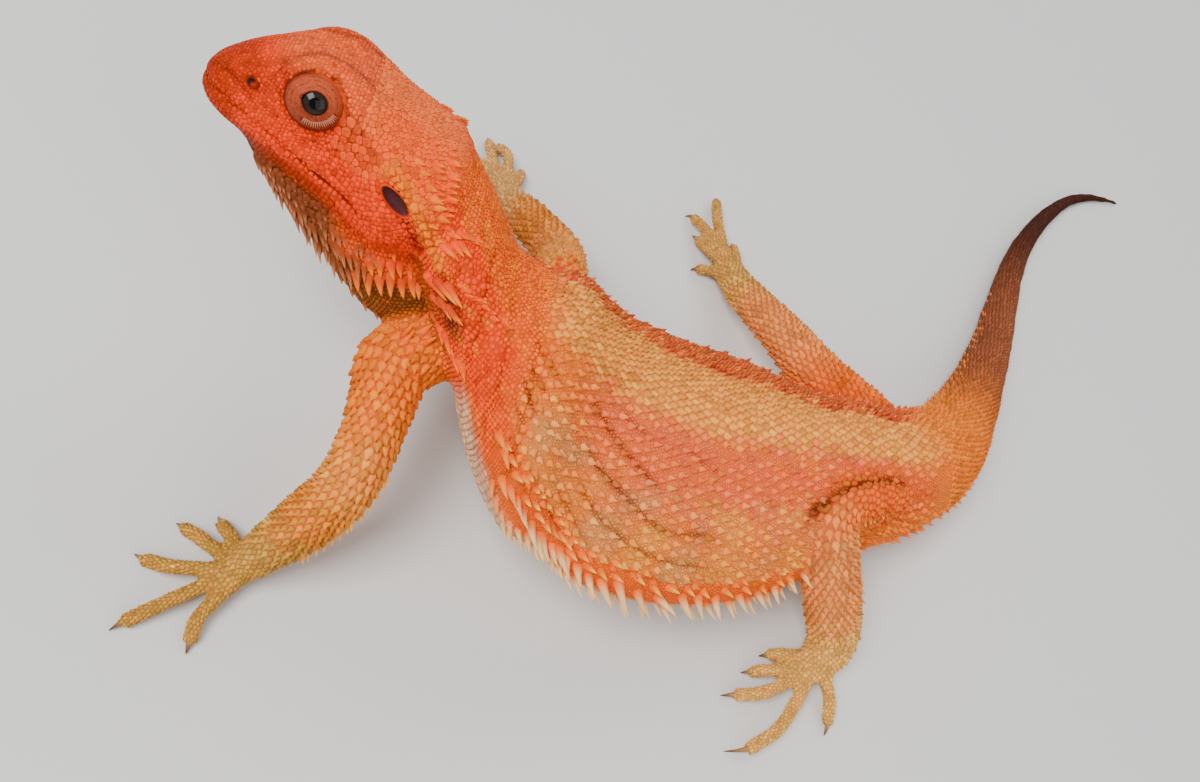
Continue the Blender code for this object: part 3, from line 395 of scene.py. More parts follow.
def body_rings(places, segments, inset):
    """Rings round the body line: the section carried along the line, turned by heading, pitch and roll."""
    rows = smooth_rows(BODY_LINE, places)
    _, side, up = body_axes(places)
    out, height = section(full_turn(segments), *(rows[:, 6:9] - inset).T, *rows[:, 9:].T)
    return rows[:, None, :3] + out[..., None] * side[:, None] + height[..., None] * up[:, None]


def from_head(points):
    """Points of the head frame, moved to where the head is."""
    return np.asarray(HEAD_ORIGIN) + np.asarray(points, float) @ head_axes()


def to_head(points):
    """Points in the head frame."""
    return (np.asarray(points, float) - np.asarray(HEAD_ORIGIN)) @ head_axes().T


def at_side(point, side):
    """A point of the left side of the head where side is 1, and its mirror image where side is -1."""
    return from_head(np.array(point) * (1, side, 1))


def swell(points, swelling):
    """Pushes points near a centre by push times exp(-(distance / reach) squared)."""
    centre, reach, push = np.array(swelling[:3]), swelling[3], np.array(swelling[4:])
    return points + push * bell(np.linalg.norm(points - centre, axis=-1, keepdims=True), reach)


def section_rings(sections, places, segments, inset, top_inset):
    """Rings in the head frame, carried along x: superellipses about the widest level."""
    rows = smooth_rows(sections, places)
    widest = rows[:, 3]
    above = rows[:, 2] - widest - top_inset
    below = widest - rows[:, 4] - inset
    side, height = section(full_turn(segments), rows[:, 1] - inset, above, below, rows[:, 5], rows[:, -1])
    return np.stack([np.broadcast_to(rows[:, :1], side.shape), side, widest[:, None] + height], -1)


def head_rings(places, segments, inset):
    """Rings round the head: sections along x, then the swellings of brows, cheeks and jaw corners."""
    rings = section_rings(HEAD_SECTIONS, places, segments, inset, inset)
    for swelling in HEAD_SWELLINGS:
        rings = swell(rings, swelling)
        rings = swell(rings, np.array(swelling) * (1, -1, 1, 1, 1, -1, 1))
    return from_head(swell(rings, CROWN_DIP))


def beard_rings(places, segments, inset):
    """Rings round the beard pouch: sections along x."""
    return from_head(section_rings(BEARD_SECTIONS, places, segments, inset, 0.0))


def limb_curve(line, steps=24):
    """Quadratic curve that rounds each corner of a line between the middles of its stretches."""
    line = np.asarray(line, float)
    middles = (line[1:] + line[:-1]) / 2
    middles[0] = line[0]
    middles[-1] = line[-1]
    share = np.linspace(0, 1, steps, endpoint=False)[:, None]
    pieces = []
    for start, corner, end in zip(middles[:-1], line[1:-1], middles[1:]):
        pieces.append(start * (1 - share) ** 2 + corner * 2 * share * (1 - share) + end * share**2)
    return np.vstack([*pieces, line[-1:]])


def along_curve(curve, shares):
    """Rows of a curve at shares of its length."""
    reach = lengths_along(curve[:, :3])
    return rows_at(np.asarray(shares) * reach[-1], reach, curve)


def tube_rings(curve, shares, segments, inset=0.0):
    """Rings round a limb or digit: an ellipse carried along its curve, its first axis level."""
    rows = along_curve(curve, shares)
    ahead = along_curve(curve, np.clip(np.asarray(shares) + 0.01, 0, 1))
    behind = along_curve(curve, np.clip(np.asarray(shares) - 0.01, 0, 1))
    along = unit(ahead[:, :3] - behind[:, :3])
    side = unit(np.cross(along, (0.0, 0.0, 1.0)))
    up = np.cross(side, along)
    angles = full_turn(segments)
    out = np.cos(angles)[None, :, None] * side[:, None] * (rows[:, 3] - inset)[:, None, None]
    rise = np.sin(angles)[None, :, None] * up[:, None] * (rows[:, 4] - inset)[:, None, None]
    return rows[:, None, :3] + out + rise


def ring_numbers(count):
    """Numbers of the points of a ring, and of the point that follows each."""
    place = np.arange(count)
    return place, (place + 1) % count


def grid_faces(count, segments):
    """Quads between neighbouring rings of a closed tube, in ring order."""
    ring, place = np.meshgrid(np.arange(count - 1), np.arange(segments), indexing="ij")
    following = (place + 1) % segments
    low = ring * segments
    high = low + segments
    return np.stack([low + place, low + following, high + following, high + place], -1).reshape(-1, 4)


def cap_faces(count, segments):
    """Triangles from the first and last ring to two middle points that follow the rings."""
    place, following = ring_numbers(segments)
    last = (count - 1) * segments
    middle = count * segments
    start = np.stack([following, place, np.full(segments, middle)], -1)
    end = np.stack([last + place, last + following, np.full(segments, middle + 1)], -1)
    return np.concatenate([start, end])


def halved(quads):
    """Quads as two triangles each: all first halves, then all second halves."""
    return np.concatenate([quads[:, [0, 1, 2]], quads[:, [0, 2, 3]]])


def closed_faces(count, segments):
    """Triangles of a tube and of both its caps."""
    return np.concatenate([halved(grid_faces(count, segments)), cap_faces(count, segments)])


def loop_faces(count, segments):
    """Triangles between rings, and from the last ring back to the first."""
    place, following = ring_numbers(segments)
    last = (count - 1) * segments
    back = np.stack([last + place, last + following, following, place], -1)
    return halved(np.concatenate([grid_faces(count, segments), back]))


def with_ends(rings):
    """Points of all rings, then the middles of the first and the last."""
    return np.concatenate([rings.reshape(-1, 3), rings[[0, -1]].mean(1)])


def turned(profile, segments):
    """A profile of distances and heights carried round a circle, ring after ring."""
    profile = np.asarray(profile, float)
    angles = full_turn(segments)
    out = profile[:, :1]
    return np.stack([out * np.cos(angles), out * np.sin(angles), np.repeat(profile[:, 1:], segments, 1)], -1)


class Loft:
    """A tube surface in millimetres that knows the share along it and round it at any point near it."""

    def __init__(self, name, rings, patch, floor=0.0):
        rings = np.array(rings)
        rings[..., 2] = np.maximum(rings[..., 2], floor)
        self.name = name
        self.rings = rings
        self.patch = patch
        self.count, self.segments, _ = rings.shape
        self.faces = grid_faces(self.count, self.segments)
        self.tree = BVHTree.FromPolygons(rings.reshape(-1, 3).tolist(), self.faces.tolist())
        self.length = lengths_along(rings.mean(1))
        self.low = rings.min((0, 1))
        self.high = rings.max((0, 1))

    def nearest(self, points, reach):
        """Distance, share along, angle round in degrees and backward direction for points near the loft."""
        distance = np.full(len(points), np.inf)
        share = np.zeros(len(points))
        angle = np.zeros(len(points))
        lie = np.zeros((len(points), 3))
        near = np.all((points > self.low - reach) & (points < self.high + reach), axis=1).nonzero()[0]
        found = [self.tree.find_nearest(point, reach) for point in points[near].tolist()]
        hit = np.array([place[0] is not None for place in found], bool)
        if not hit.any():
            return distance, share, angle, lie
        rows = near[hit]
        found = [place for place in found if place[0] is not None]
        touched = np.array([place[0][:] for place in found])
        face = np.array([place[2] for place in found])
        distance[rows] = np.array([place[3] for place in found])
        corner = self.rings.reshape(-1, 3)[self.faces[face]]
        back = corner[:, 3] - corner[:, 0]
        across = corner[:, 1] - corner[:, 0]
        offset = touched - corner[:, 0]
        step = np.clip((offset * back).sum(1) / np.maximum((back**2).sum(1), 1e-9), 0, 1)
        turn = np.clip((offset * across).sum(1) / np.maximum((across**2).sum(1), 1e-9), 0, 1)
        share[rows] = (face // self.segments + step) / (self.count - 1)
        angle[rows] = (face % self.segments + turn) / self.segments * 360
        lie[rows] = unit(corner[:, 3] + corner[:, 2] - corner[:, 0] - corner[:, 1])
        return distance, share, angle, lie


# Tubes of the trunk: name, rings, table, how many rings, points in each, and patch of the unwrap as left,
# low, width and height
TRUNK_TUBES = (
    ("body", body_rings, BODY_LINE, 480, 144, (0.0, 0.0, 0.66, 0.5)),
    ("head", head_rings, HEAD_SECTIONS, 90, 120, (0.0, 0.5, 0.26, 0.5)),
    ("beard", beard_rings, BEARD_SECTIONS, 60, 72, (0.27, 0.5, 0.2, 0.3)),
)


def build_lofts():
    """Every tube of the animal: body, head, beard, limbs and digits, with its patch of the unwrap."""
    inset = coat_inset()
    lofts = []
    for name, make, table, count, segments, patch in TRUNK_TUBES:
        lofts.append(Loft(name, make(np.linspace(0, len(table) - 1, count), segments, inset), patch))
    for number, (name, line) in enumerate(LIMBS.items()):
        rings = tube_rings(limb_curve(line), np.linspace(0, 1, 120), 40, inset)
        lofts.append(Loft(name, rings, (0.67, 0.25 * number, 0.2, 0.24), inset))
        for order, points in enumerate(DIGITS[name]):
            root, knuckle, end, _ = np.array(points)
            cuff = end + unit(end - knuckle) * CLAW_CUFF - (0, 0, 0.3)
            line = [(*point, DIGIT_RADIUS, DIGIT_RADIUS) for point in (root, knuckle, end, cuff)]
            rings = tube_rings(limb_curve(line), np.linspace(0, 1, 24), 20, inset * 0.5)
            patch = (0.88, 0.25 * number + 0.048 * order, 0.11, 0.045)
            lofts.append(Loft(f"{name}_digit_{order + 1}", rings, patch, inset))
    return lofts


def new_mesh(name, points, faces):
    """Mesh from whole arrays: points in metres and faces as one array of triangles or of quads."""
    mesh = bpy.data.meshes.new(name)
    corners = faces.shape[1]
    mesh.vertices.add(len(points))
    mesh.vertices.foreach_set("co", np.asarray(points, np.float32).ravel())
    mesh.loops.add(faces.size)
    mesh.loops.foreach_set("vertex_index", faces.astype(np.int32).ravel())
    mesh.polygons.add(len(faces))
    mesh.polygons.foreach_set("loop_start", np.arange(0, faces.size, corners, dtype=np.int32))
    mesh.update(calc_edges=True)
    mesh.polygons.foreach_set("use_smooth", np.ones(len(faces), bool))
    return mesh


def place(mesh, material, slot):
    """Object of this mesh and name at the origin, riding on the still body."""
    item = bpy.data.objects.new(mesh.name, mesh)
    bpy.context.scene.collection.objects.link(item)
    mesh.materials.append(material)
    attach(item, "root")
    return item


def paint(mesh, colours):
    """Stores one colour for each point of the mesh, for the material to read."""
    layer = mesh.attributes.new("scale_colour", "FLOAT_COLOR", "POINT")
    full = np.ones((len(colours), 4), np.float32)
    full[:, :3] = colours
    layer.data.foreach_set("color", full.ravel())


def read(items, field, width, kind=np.float32):
    """One field of a mesh's points, normals, edges or corners, as rows of this width."""
    values = np.empty(len(items) * width, kind)
    items.foreach_get(field, values)
    return values.reshape(-1, width).astype(float if kind is np.float32 else kind)


def waves(points, size, seed, count=9):
    """Smooth random field between about -1 and 1: a sum of sine waves of one size in seeded directions."""
    draw = np.random.default_rng(seed)
    directions = unit(draw.normal(size=(count, 3))) * 2 * math.pi / size
    directions = directions * draw.uniform(0.7, 1.4, (count, 1))
    shifts = draw.uniform(0, 2 * math.pi, count)
    return np.sin(points @ directions.T + shifts).sum(1) / math.sqrt(count) / 1.4


def rise(values, low, high):
    """Smooth step from 0 at low to 1 at high."""
    share = np.clip((np.asarray(values, float) - low) / (high - low), 0, 1)
    return share * share * (3 - 2 * share)


def between(values, low, high, soft):
    """One between low and high, falling to 0 over the soft width outside."""
    return rise(values, low - soft, low) * (1 - rise(values, high, high + soft))


def blend(base, hue, share):
    """Mixes a named colour into rows of colours."""
    return base + (np.array(HUES[hue]) - base) * np.clip(share, 0, 1)[:, None]


def layered(base, count, *layers):
    """Rows of one named colour, with others mixed in one after another, each by its share."""
    colour = np.tile(HUES[base], (count, 1))
    for hue, share in layers:
        colour = blend(colour, hue, share)
    return colour


def line_distance(points, line):
    """Distance of points from a line through given corners, in the plane or in space."""
    best = np.full(len(points), np.inf)
    line = np.asarray(line, float)
    for start, end in zip(line[:-1], line[1:]):
        way = end - start
        share = np.clip((points - start) @ way / (way @ way), 0, 1)[:, None]
        best = np.minimum(best, np.linalg.norm(points - start - share * way, axis=1))
    return best


def head_lines(points):
    """For each line on head and thigh: its colour, strength, push and the nearness of each point, 0 to 1."""
    half, push, line = THIGH_CREASE
    # The thigh crease is painted shade where the flank lies over the thigh.
    yield "crease_shade", 0.8, push, bell(line_distance(points, line), half)
    local = to_head(points)
    local[:, 1] = np.abs(local[:, 1])
    for hue, strength, half, push, line in HEAD_LINES:
        yield hue, strength, push, bell(line_distance(local, line), half)


def creases(phase):
    """Narrow creases, one wherever the phase passes a whole number of half turns."""
    return (1 - np.abs(np.sin(phase))) ** 3


def fold_depth(row, over, points):
    """Folds of the flank: broken creases a few millimetres apart that run back along the body."""
    phase = row * 3.0 + over * 0.5 + 1.3 * waves(points, 22, 43)
    crease = creases(phase / 2) * rise(waves(points, 26, 44), -0.7, 0.3)
    front = between(row, 3.3, 6.8, 0.8) * between(over, 6, 60, 10)
    rear = between(row, 9.2, 11.6, 0.6) * between(over, 8, 50, 10)
    return crease * (front + 0.6 * rear)


def body_place(share, angle):
    """Row of the body line, and degrees over the back with the right flank at 180 and the left at 0."""
    return share * BODY_ROWS, np.where(angle > 270, angle - 360, angle)


def body_colours(share, angle, points):
    """Colours of neck, trunk and tail from the place along the body and the angle over the back."""
    row, over = body_place(share, angle)
    patches = waves(points, 15, 11)
    fine = waves(points, 4.5, 12)
    grey = waves(points, 8, 13)
    ragged = over + 5 * fine
    pink = between(row, 6, 11, 2.4) * between(over + 6 * fine, 38, 74, 10)
    lower = between(ragged, 9, 42, 8)
    neck = 1 - rise(row, 2.2, 3.8)
    return layered(
        "flank_orange", len(row),
        ("flank_pink", pink * (0.75 + 0.25 * grey)),
        ("flank_yellow", rise(-patches, -0.4, 1) * lower * between(row, 3.6, 9.6, 1) * 0.65),
        ("flank_olive", rise(patches + 0.3 * grey, -0.4, 1) * lower * between(row, 3.4, 8.8, 1) * 0.5),
        ("back_band", between(ragged, 75, 113, 8) * between(row, 2.9, 12.5, 1.2)),
        ("back_edge", between(ragged, 118, 168, 6) * between(row, 3, 12, 1) * (0.8 + 0.2 * grey)),
        ("fringe_band", between(over + 3 * fine, -12, 9, 5) * between(row, 3, 9.8, 0.6)),
        ("fringe_band", between(over, 172, 192, 8) * between(row, 3, 9.8, 0.6)),
        # Painted shade in the creases of the flank's folds.
        ("crease_shade", fold_depth(row, over, points) * 0.55),
        ("belly", between(angle, 202, 340, 8) * between(row, 2.6, 13.5, 0.8)),
        ("neck", neck),
        ("neck_speckle", neck * rise(fine + 0.4 * grey, 0.1, 0.9) * 0.7),
        ("neck_speckle", neck * between(over, 50, 120, 15) * 0.5),
        # Painted shadow in a patch low on the neck beside the pouch.
        ("crease_shade", np.exp(-(((row - 0.95) / 0.35) ** 2) - ((over + 20) / 15) ** 2) * 0.75),
        ("pouch", (1 - rise(row, 1.2, 2.2)) * between(angle, 225, 315, 14) * 0.8),
        ("belly", between(row, 2.4, 13.5, 0.5) * between(angle, 208, 332, 10)),
        ("tail_base", rise(row, 11, 13.4)),
        ("tail_mid", rise(row + 0.25 * fine, 13.9, 16.4)),
        ("tail_tip", rise(row, 17, 20.5)),
    )


def head_colours(points):
    """Colours of the head from the place in the head frame."""
    x, y, z = to_head(points).T
    fine = waves(points, 2.6, 21)
    broad = waves(points, 8, 22)
    back = between(x, -14, 10, 4) * rise(z, -3, 3) * rise(np.abs(y), 6, 11)
    return layered(
        "cheek", len(x),
        ("crown", rise(z + 0.12 * (24 - x), 6.5, 11.0)),
        ("snout", rise(x + 3 * broad, 32, 42) * 0.65),
        ("snout", rise(fine, 0.2, 1.1) * 0.45 * rise(x, 6, 14)),
        ("temple", back * (0.75 + 0.25 * fine)),
        ("neck", 1 - rise(x, -10, -5)),
        ("jaw", rise(-z, 6.5, 9.5) * rise(x, 8, 18) * 0.7),
        ("beard_front", rise(-z, 11, 14.5) * rise(x, 8, 16)),
        ("beard_rear", rise(-z, 13.5, 16.5) * (1 - rise(x, 8, 16)) * 0.8),
    )


def beard_colours(points):
    """Colours of the beard: grey-brown in front, brown-orange on the pouch."""
    x, _, z = to_head(points).T
    return layered(
        "pouch", len(x),
        ("beard_rear", rise(waves(points, 5, 24), 0.3, 1.2) * 0.35),
        ("beard_front", rise(x, 6, 14) * rise(z, -24, -19) * 0.8),
        ("beard_rear", (1 - rise(x, 4, 12)) * rise(z, -23, -18)),
    )


# Colours of upper limb, lower limb and end, and the shares of the limb where one passes into the next
LIMB_HUES = {
    "left_arm": ("arm_top", "arm_low", "hand", 0.44, 0.785),
    "right_arm": ("arm_low", "far_shin", "far_hand", 0.52, 0.81),
    "left_leg": ("thigh", "shin", "foot", 0.475, 0.82),
    "right_leg": ("thigh", "shin", "far_foot", 0.44, 0.78),
}


def limb_colours(name, share, points):
    """Colours along a limb: upper limb, lower limb, wrist of an arm, then hand or foot."""
    top, low, end, first, second = LIMB_HUES[name]
    fine = waves(points, 6, 31)
    return layered(
        top, len(share),
        (low, rise(share + 0.03 * fine, first - 0.1, first + 0.1)),
        ("wrist", between(share + 0.02 * fine, 0.65, 0.785, 0.08) * 0.6 * ("arm" in name)),
        (end, rise(share + 0.03 * fine, second - 0.1, second + 0.06)),
    )


def loft_colours(loft, share, angle, points):
    """Colours of the points on one loft."""
    if loft.name == "body":
        return body_colours(share, angle, points)
    if loft.name == "head":
        return head_colours(points)
    if loft.name == "beard":
        return beard_colours(points)
    limb, _, digit = loft.name.partition("_digit")
    return limb_colours(limb, np.ones(len(share)) if digit else share, points)


# What lies nearest to a point: distances of the nearest and second part, colour, place in the unwrap, way
# backwards, name of the part, share along it and degrees round it
Spot = namedtuple("Spot", "distance second colour unwrap lie part share angle")


def locate(points, lofts, reach=6.0, soft=3.5):
    """What lies nearest to each point, colour and lie blended over the width soft where lofts meet."""
    distances, shares, angles, lies = zip(*[loft.nearest(points, reach) for loft in lofts])
    distances = np.array(distances)
    order = np.sort(distances, axis=0)
    best = distances.argmin(0)
    rows = np.arange(len(points))
    colour = np.zeros((len(points), 3))
    lie = np.zeros((len(points), 3))
    total = np.zeros(len(points))
    unwrap = np.zeros((len(points), 2))
    for number, loft in enumerate(lofts):
        weight = np.clip(1 - (distances[number] - order[0]) / soft, 0, 1) ** 2
        weight = np.where(np.isfinite(distances[number]), weight, 0)
        used = weight > 0
        if not used.any():
            continue
        hue = loft_colours(loft, shares[number][used], angles[number][used], points[used])
        colour[used] += hue * weight[used, None]
        lie[used] += lies[number][used] * weight[used, None]
        total[used] += weight[used]
        mine = best == number
        left, low, wide, high = loft.patch
        unwrap[mine, 0] = left + wide * (0.03 + 0.94 * shares[number][mine])
        unwrap[mine, 1] = low + high * (0.03 + 0.94 * angles[number][mine] / 360)
    colour /= np.maximum(total, 1e-9)[:, None]
    # The lines of head and thigh go into the colour, and through it into the scales and spines: painted shade
    # along the grooves and the thigh crease, and the ridge's own orange.
    for hue, strength, _, near in head_lines(points):
        colour = blend(colour, hue, strength * near)
    part = np.array([loft.name for loft in lofts])[best]
    share = np.array(shares)[best, rows]
    return Spot(order[0], order[1], colour, unwrap, unit(lie), part, share, np.array(angles)[best, rows])


def even_out(points, edges, weight, rounds):
    """Moves each point towards the middle of its neighbours by its weight, so many rounds."""
    count = np.bincount(edges.ravel(), minlength=len(points)).clip(1)
    for _ in range(rounds):
        sums = np.stack(
            [
                np.bincount(edges[:, 0], points[edges[:, 1], axis], len(points))
                + np.bincount(edges[:, 1], points[edges[:, 0], axis], len(points))
                for axis in range(3)
            ],
            -1,
        )
        points = points + (sums / count[:, None] - points) * weight[:, None]
    return points


def joined_skin(lofts):
    """All lofts as one closed surface in millimetres, joined through a fine grid of cells."""
    points = []
    quads = []
    triangles = []
    start = 0
    for loft in lofts:
        points.append(with_ends(loft.rings))
        quads.append(loft.faces + start)
        triangles.append(cap_faces(loft.count, loft.segments) + start)
        start += len(points[-1])
    for side in (1, -1):
        ball, faces = lid_ball(side, 24, 12)
        points.append(ball)
        triangles.append(faces + start)
        start += len(ball)
    mesh = bpy.data.meshes.new("skin cells")
    faces = [*np.concatenate(quads).tolist(), *np.concatenate(triangles).tolist()]
    mesh.from_pydata(np.concatenate(points).tolist(), [], faces)
    item = bpy.data.objects.new("skin cells", mesh)
    bpy.context.scene.collection.objects.link(item)
    bm = bmesh.new()
    bm.from_mesh(mesh)
    bmesh.ops.recalc_face_normals(bm, faces=bm.faces)
    bm.to_mesh(mesh)
    bm.free()
    change = item.modifiers.new("join", "REMESH")
    change.mode = "VOXEL"
    change.voxel_size = settings().voxel / MM
    bpy.context.view_layer.update()
    graph = bpy.context.evaluated_depsgraph_get()
    joined = bpy.data.meshes.new_from_object(item.evaluated_get(graph))
    bpy.data.objects.remove(item, do_unlink=True)
    return joined


def lid_axes(side):
    """Forward, up and outward axes of the eyelid disc of one side."""
    axes = head_axes()
    outward = unit(np.array(LID_FACING) * (1, side, 1) @ axes)
    ahead = unit(axes[0] - outward * (axes[0] @ outward))
    return np.array([ahead, np.cross(outward, ahead), outward])


def ball_grid(segments, rings):
    """Points of a unit ball by latitude and longitude with its two poles, and its triangles."""
    latitudes = np.linspace(-math.pi / 2, math.pi / 2, rings + 2)[1:-1]
    ball = turned(np.stack([np.cos(latitudes), np.sin(latitudes)], -1), segments).reshape(-1, 3)
    return np.concatenate([ball, [[0, 0, -1], [0, 0, 1]]]), closed_faces(rings, segments)


def lid_ball(side, segments, rings):
    """The bulge of skin round one eye."""
    ball, faces = ball_grid(segments, rings)
    return at_side(LID_CENTRE, side) + (ball * (np.array(LID_SIZE) - coat_inset())) @ lid_axes(side), faces


def eye_centre(side):
    """Middle of one eyeball."""
    return at_side(LID_CENTRE, side) - lid_axes(side)[2] * EYE_SETBACK


def frame_shift():
    """Millimetres from the animal's own place to where it stands in the frame, read from the left eye."""
    low, high = np.array(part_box("eye_left")) / MM
    return (low + high) / 2 - eye_centre(1)


def to_frame(points):
    """Points in metres in the frame, never under the floor."""
    points = np.asarray(points, float) + frame_shift()
    points[..., 2] = np.maximum(points[..., 2], 0.0)
    return points * MM


# Roots of scales: places, sizes, numbers of their styles, and order, where the lower keeps its ground
Roots = namedtuple("Roots", "points size style order")


def rows_on(
    loft, start, end, first, last, size, style, stretch=1.0, offset=0.5, jitter=0.1, order=1, seed=0,
    spacing=1.0, uneven=0.07,
):
    """Roots in staggered rows on a loft, from start to end along it and first to last degrees round it.

    Size is that of the scales, uneven by how much it varies, and spacing how many sizes apart they stand.
    Stretch widens the rows, offset staggers every other row and jitter moves single roots.
    """
    draw = draws(seed)
    sizes = np.broadcast_to(np.asarray(size, float), (2,))
    length = np.interp([start, end], np.linspace(0, 1, loft.count), loft.length)
    fine = np.radians(np.linspace(first, last, max(int((last - first) / 2), 4)))
    column = (fine / (2 * math.pi) * loft.segments) % loft.segments
    low = column.astype(int) % loft.segments
    high = (low + 1) % loft.segments
    part = (column - np.floor(column))[:, None]
    points = []
    widths = []
    at = length[0]
    number = 0
    while at < length[1]:
        wide = float(np.interp(at, length, sizes)) * spacing
        ring = np.interp(at, loft.length, np.arange(loft.count))
        step = int(min(ring, loft.count - 2))
        share = ring - step
        line = loft.rings[step] * (1 - share) + loft.rings[step + 1] * share
        line = line[low] * (1 - part) + line[high] * part
        reach = lengths_along(line)
        count = max(int(round(reach[-1] / wide)), 1)
        places = (np.arange(count) + 0.25 + offset * (number % 2)) / count
        places = places + draw.uniform(-jitter, jitter, count) / count
        points.append(rows_at(places * reach[-1], reach, line))
        widths.append(np.full(count, wide))
        at += wide * 0.87 * stretch
        number += 1
    points = np.concatenate(points)
    points = points + draw.normal(0, jitter * 0.5, points.shape) * np.concatenate(widths)[:, None]
    count = len(points)
    own = np.concatenate(widths) / spacing * np.exp(draw.normal(0, uneven, count))
    return Roots(points, own, np.full(count, STYLE_NAMES.index(style)), np.full(count, order))


def gathered(parts):
    """Several sets of roots as one."""
    return Roots(*[np.concatenate(values) for values in zip(*parts)])


def scale_zones(lofts):
    """Every zone of scales, as roots in rows."""
    by_name = {loft.name: loft for loft in lofts}
    head = by_name["head"]

    def on_body(start, end, *where, **how):
        return rows_on(by_name["body"], start / BODY_ROWS, end / BODY_ROWS, *where, **how)

    zones = [
        on_body(0.0, 3.1, 0, 360, (1.15, 1.2), "granule", seed=1, uneven=0.12),
        on_body(2.6, 12.6, 66, 116, (2.2, 2.3), "plate", jitter=0.16, seed=2),
        on_body(3.0, 12.4, -16, 66, 0.88, "fine", jitter=0.16, seed=3),
        on_body(3.2, 11.8, 8, 64, (2.3, 2.2), "tubercle", jitter=0.12, order=0, seed=4, spacing=1.32),
        on_body(3.0, 12.6, 116, 196, (1.9, 1.9), "spiny", jitter=0.16, seed=6),
        on_body(3.0, 12.6, 196, 344, (1.8, 1.9), "smooth", seed=7),
        on_body(12.1, 15.6, 0, 360, (1.8, 1.3), "keeled", seed=8),
        on_body(15.6, 19.0, 0, 360, (1.25, 1.15), "keeled", 1.3, 0.0, 0.04, seed=9),
        on_body(19.0, 23.9, 0, 360, (1.15, 0.6), "keeled", 1.4, 0.0, 0.04, seed=10),
        rows_on(head, 0.0, 0.34, 30, 150, (1.15, 1.3), "net", jitter=0.2, seed=20, uneven=0.2),
        rows_on(head, 0.34, 0.97, 30, 150, (0.95, 0.7), "smooth", jitter=0.22, seed=21, uneven=0.18),
    ]
    for jaw, cheek, crown in ((-14, 6, 30), (194, 174, 150)):
        upper = sorted((cheek, crown))
        lower = sorted((jaw, cheek))
        whole = sorted((jaw, crown))
        zones += [
            rows_on(head, 0.0, 0.4, *upper, (1.2, 1.7), "net", jitter=0.22, seed=22, uneven=0.24),
            rows_on(head, 0.0, 0.4, *lower, (1.2, 1.1), "pointed", jitter=0.2, seed=23, uneven=0.16),
            rows_on(head, 0.4, 0.97, *whole, (0.85, 0.66), "smooth", 1.2, jitter=0.22, seed=24, uneven=0.18),
        ]
    zones += [
        rows_on(head, 0.0, 0.32, 194, 346, (1.25, 1.25), "pointed", jitter=0.16, seed=26, uneven=0.14),
        rows_on(head, 0.32, 0.97, 194, 346, (0.95, 0.8), "smooth", 1.3, jitter=0.18, seed=27),
        rows_on(by_name["beard"], 0.0, 1.0, 0, 360, (1.15, 1.15), "granule", seed=30),
    ]
    for number, name in enumerate(LIMBS):
        limb = by_name[name]
        seed = 40 + 10 * number
        size, style = (2.0, "spiny") if "leg" in name else (2.3, "keeled")
        zones += [
            rows_on(limb, 0.0, 0.48, 0, 360, size, style, seed=seed),
            rows_on(limb, 0.48, 0.845, -30, 210, (2.2, 1.8), "keeled", seed=seed + 1),
            rows_on(limb, 0.48, 0.845, 210, 330, (1.8, 1.5), "smooth", seed=seed + 2),
            rows_on(limb, 0.845, 1.0, 0, 360, (1.5, 1.25), "pointed", seed=seed + 3),
        ]
        for order in range(5):
            digit = by_name[f"{name}_digit_{order + 1}"]
            zones.append(rows_on(digit, 0.0, 1.0, 0, 360, (1.25, 1.0), "digit", seed=seed + 4 + order))
    return gathered(zones)


def tree_of(points):
    """Search tree of points."""
    tree = KDTree(len(points))
    for number, point in enumerate(points.tolist()):
        tree.insert(point, number)
    tree.balance()
    return tree


def neighbours(points, count):
    """Numbers of the nearest other roots of each root."""
    tree = tree_of(points)
    found = [[place[1] for place in tree.find_n(point, count + 1)] for point in points.tolist()]
    return np.array(found)[:, 1:]


def keep(roots, wanted):
    """The roots where wanted is true."""
    return Roots(*[values[wanted] for values in roots])


def thin_out(roots, share):
    """Drops each root that lies closer than a share of its size to one of lower or equal order before it."""
    near = neighbours(roots.points, 8)
    gap = np.linalg.norm(roots.points[near] - roots.points[:, None], axis=2)
    least = share * (roots.size[:, None] + roots.size[near]) / 2
    own = roots.order * len(roots.points) + np.arange(len(roots.points))
    first = roots.order[near] * len(roots.points) + near < own[:, None]
    return keep(roots, ~((gap < least) & first).any(1))


class Cells:
    """The ground that each root has to itself on the skin, in its own backward and sideways directions.

    The edge towards a neighbour lies at a share of the way that is the root's size over both sizes.
    """

    def __init__(self, points, normals, lie, size):
        self.across = unit(np.cross(normals, lie))
        self.back = np.cross(self.across, normals)
        near = neighbours(points, 14)
        offset = points[near] - points[:, None]
        facing = (normals[near] * normals[:, None]).sum(2) > 0.1
        self.a = (offset * self.back[:, None]).sum(2)
        self.b = (offset * self.across[:, None]).sum(2)
        gap = np.linalg.norm(offset, axis=2).clip(1e-6)
        edge = gap * size[:, None] / (size[:, None] + size[near])
        self.edge = np.where(facing & (gap > 0.05), edge, np.inf)
        self.flat = np.hypot(self.a, self.b).clip(1e-6)
        self.size = size

    def reach(self, rows, sides):
        """Distance from these roots to the edge of their cells in evenly spread directions, back first."""
        angles = full_turn(sides)
        a = self.a[rows][..., None] * np.cos(angles)
        b = self.b[rows][..., None] * np.sin(angles)
        toward = (a + b) / self.flat[rows][..., None]
        reach = np.where(toward > 0.08, self.edge[rows][..., None] / np.maximum(toward, 0.08), np.inf).min(1)
        return np.minimum(reach, self.size[rows][:, None] * 0.72)


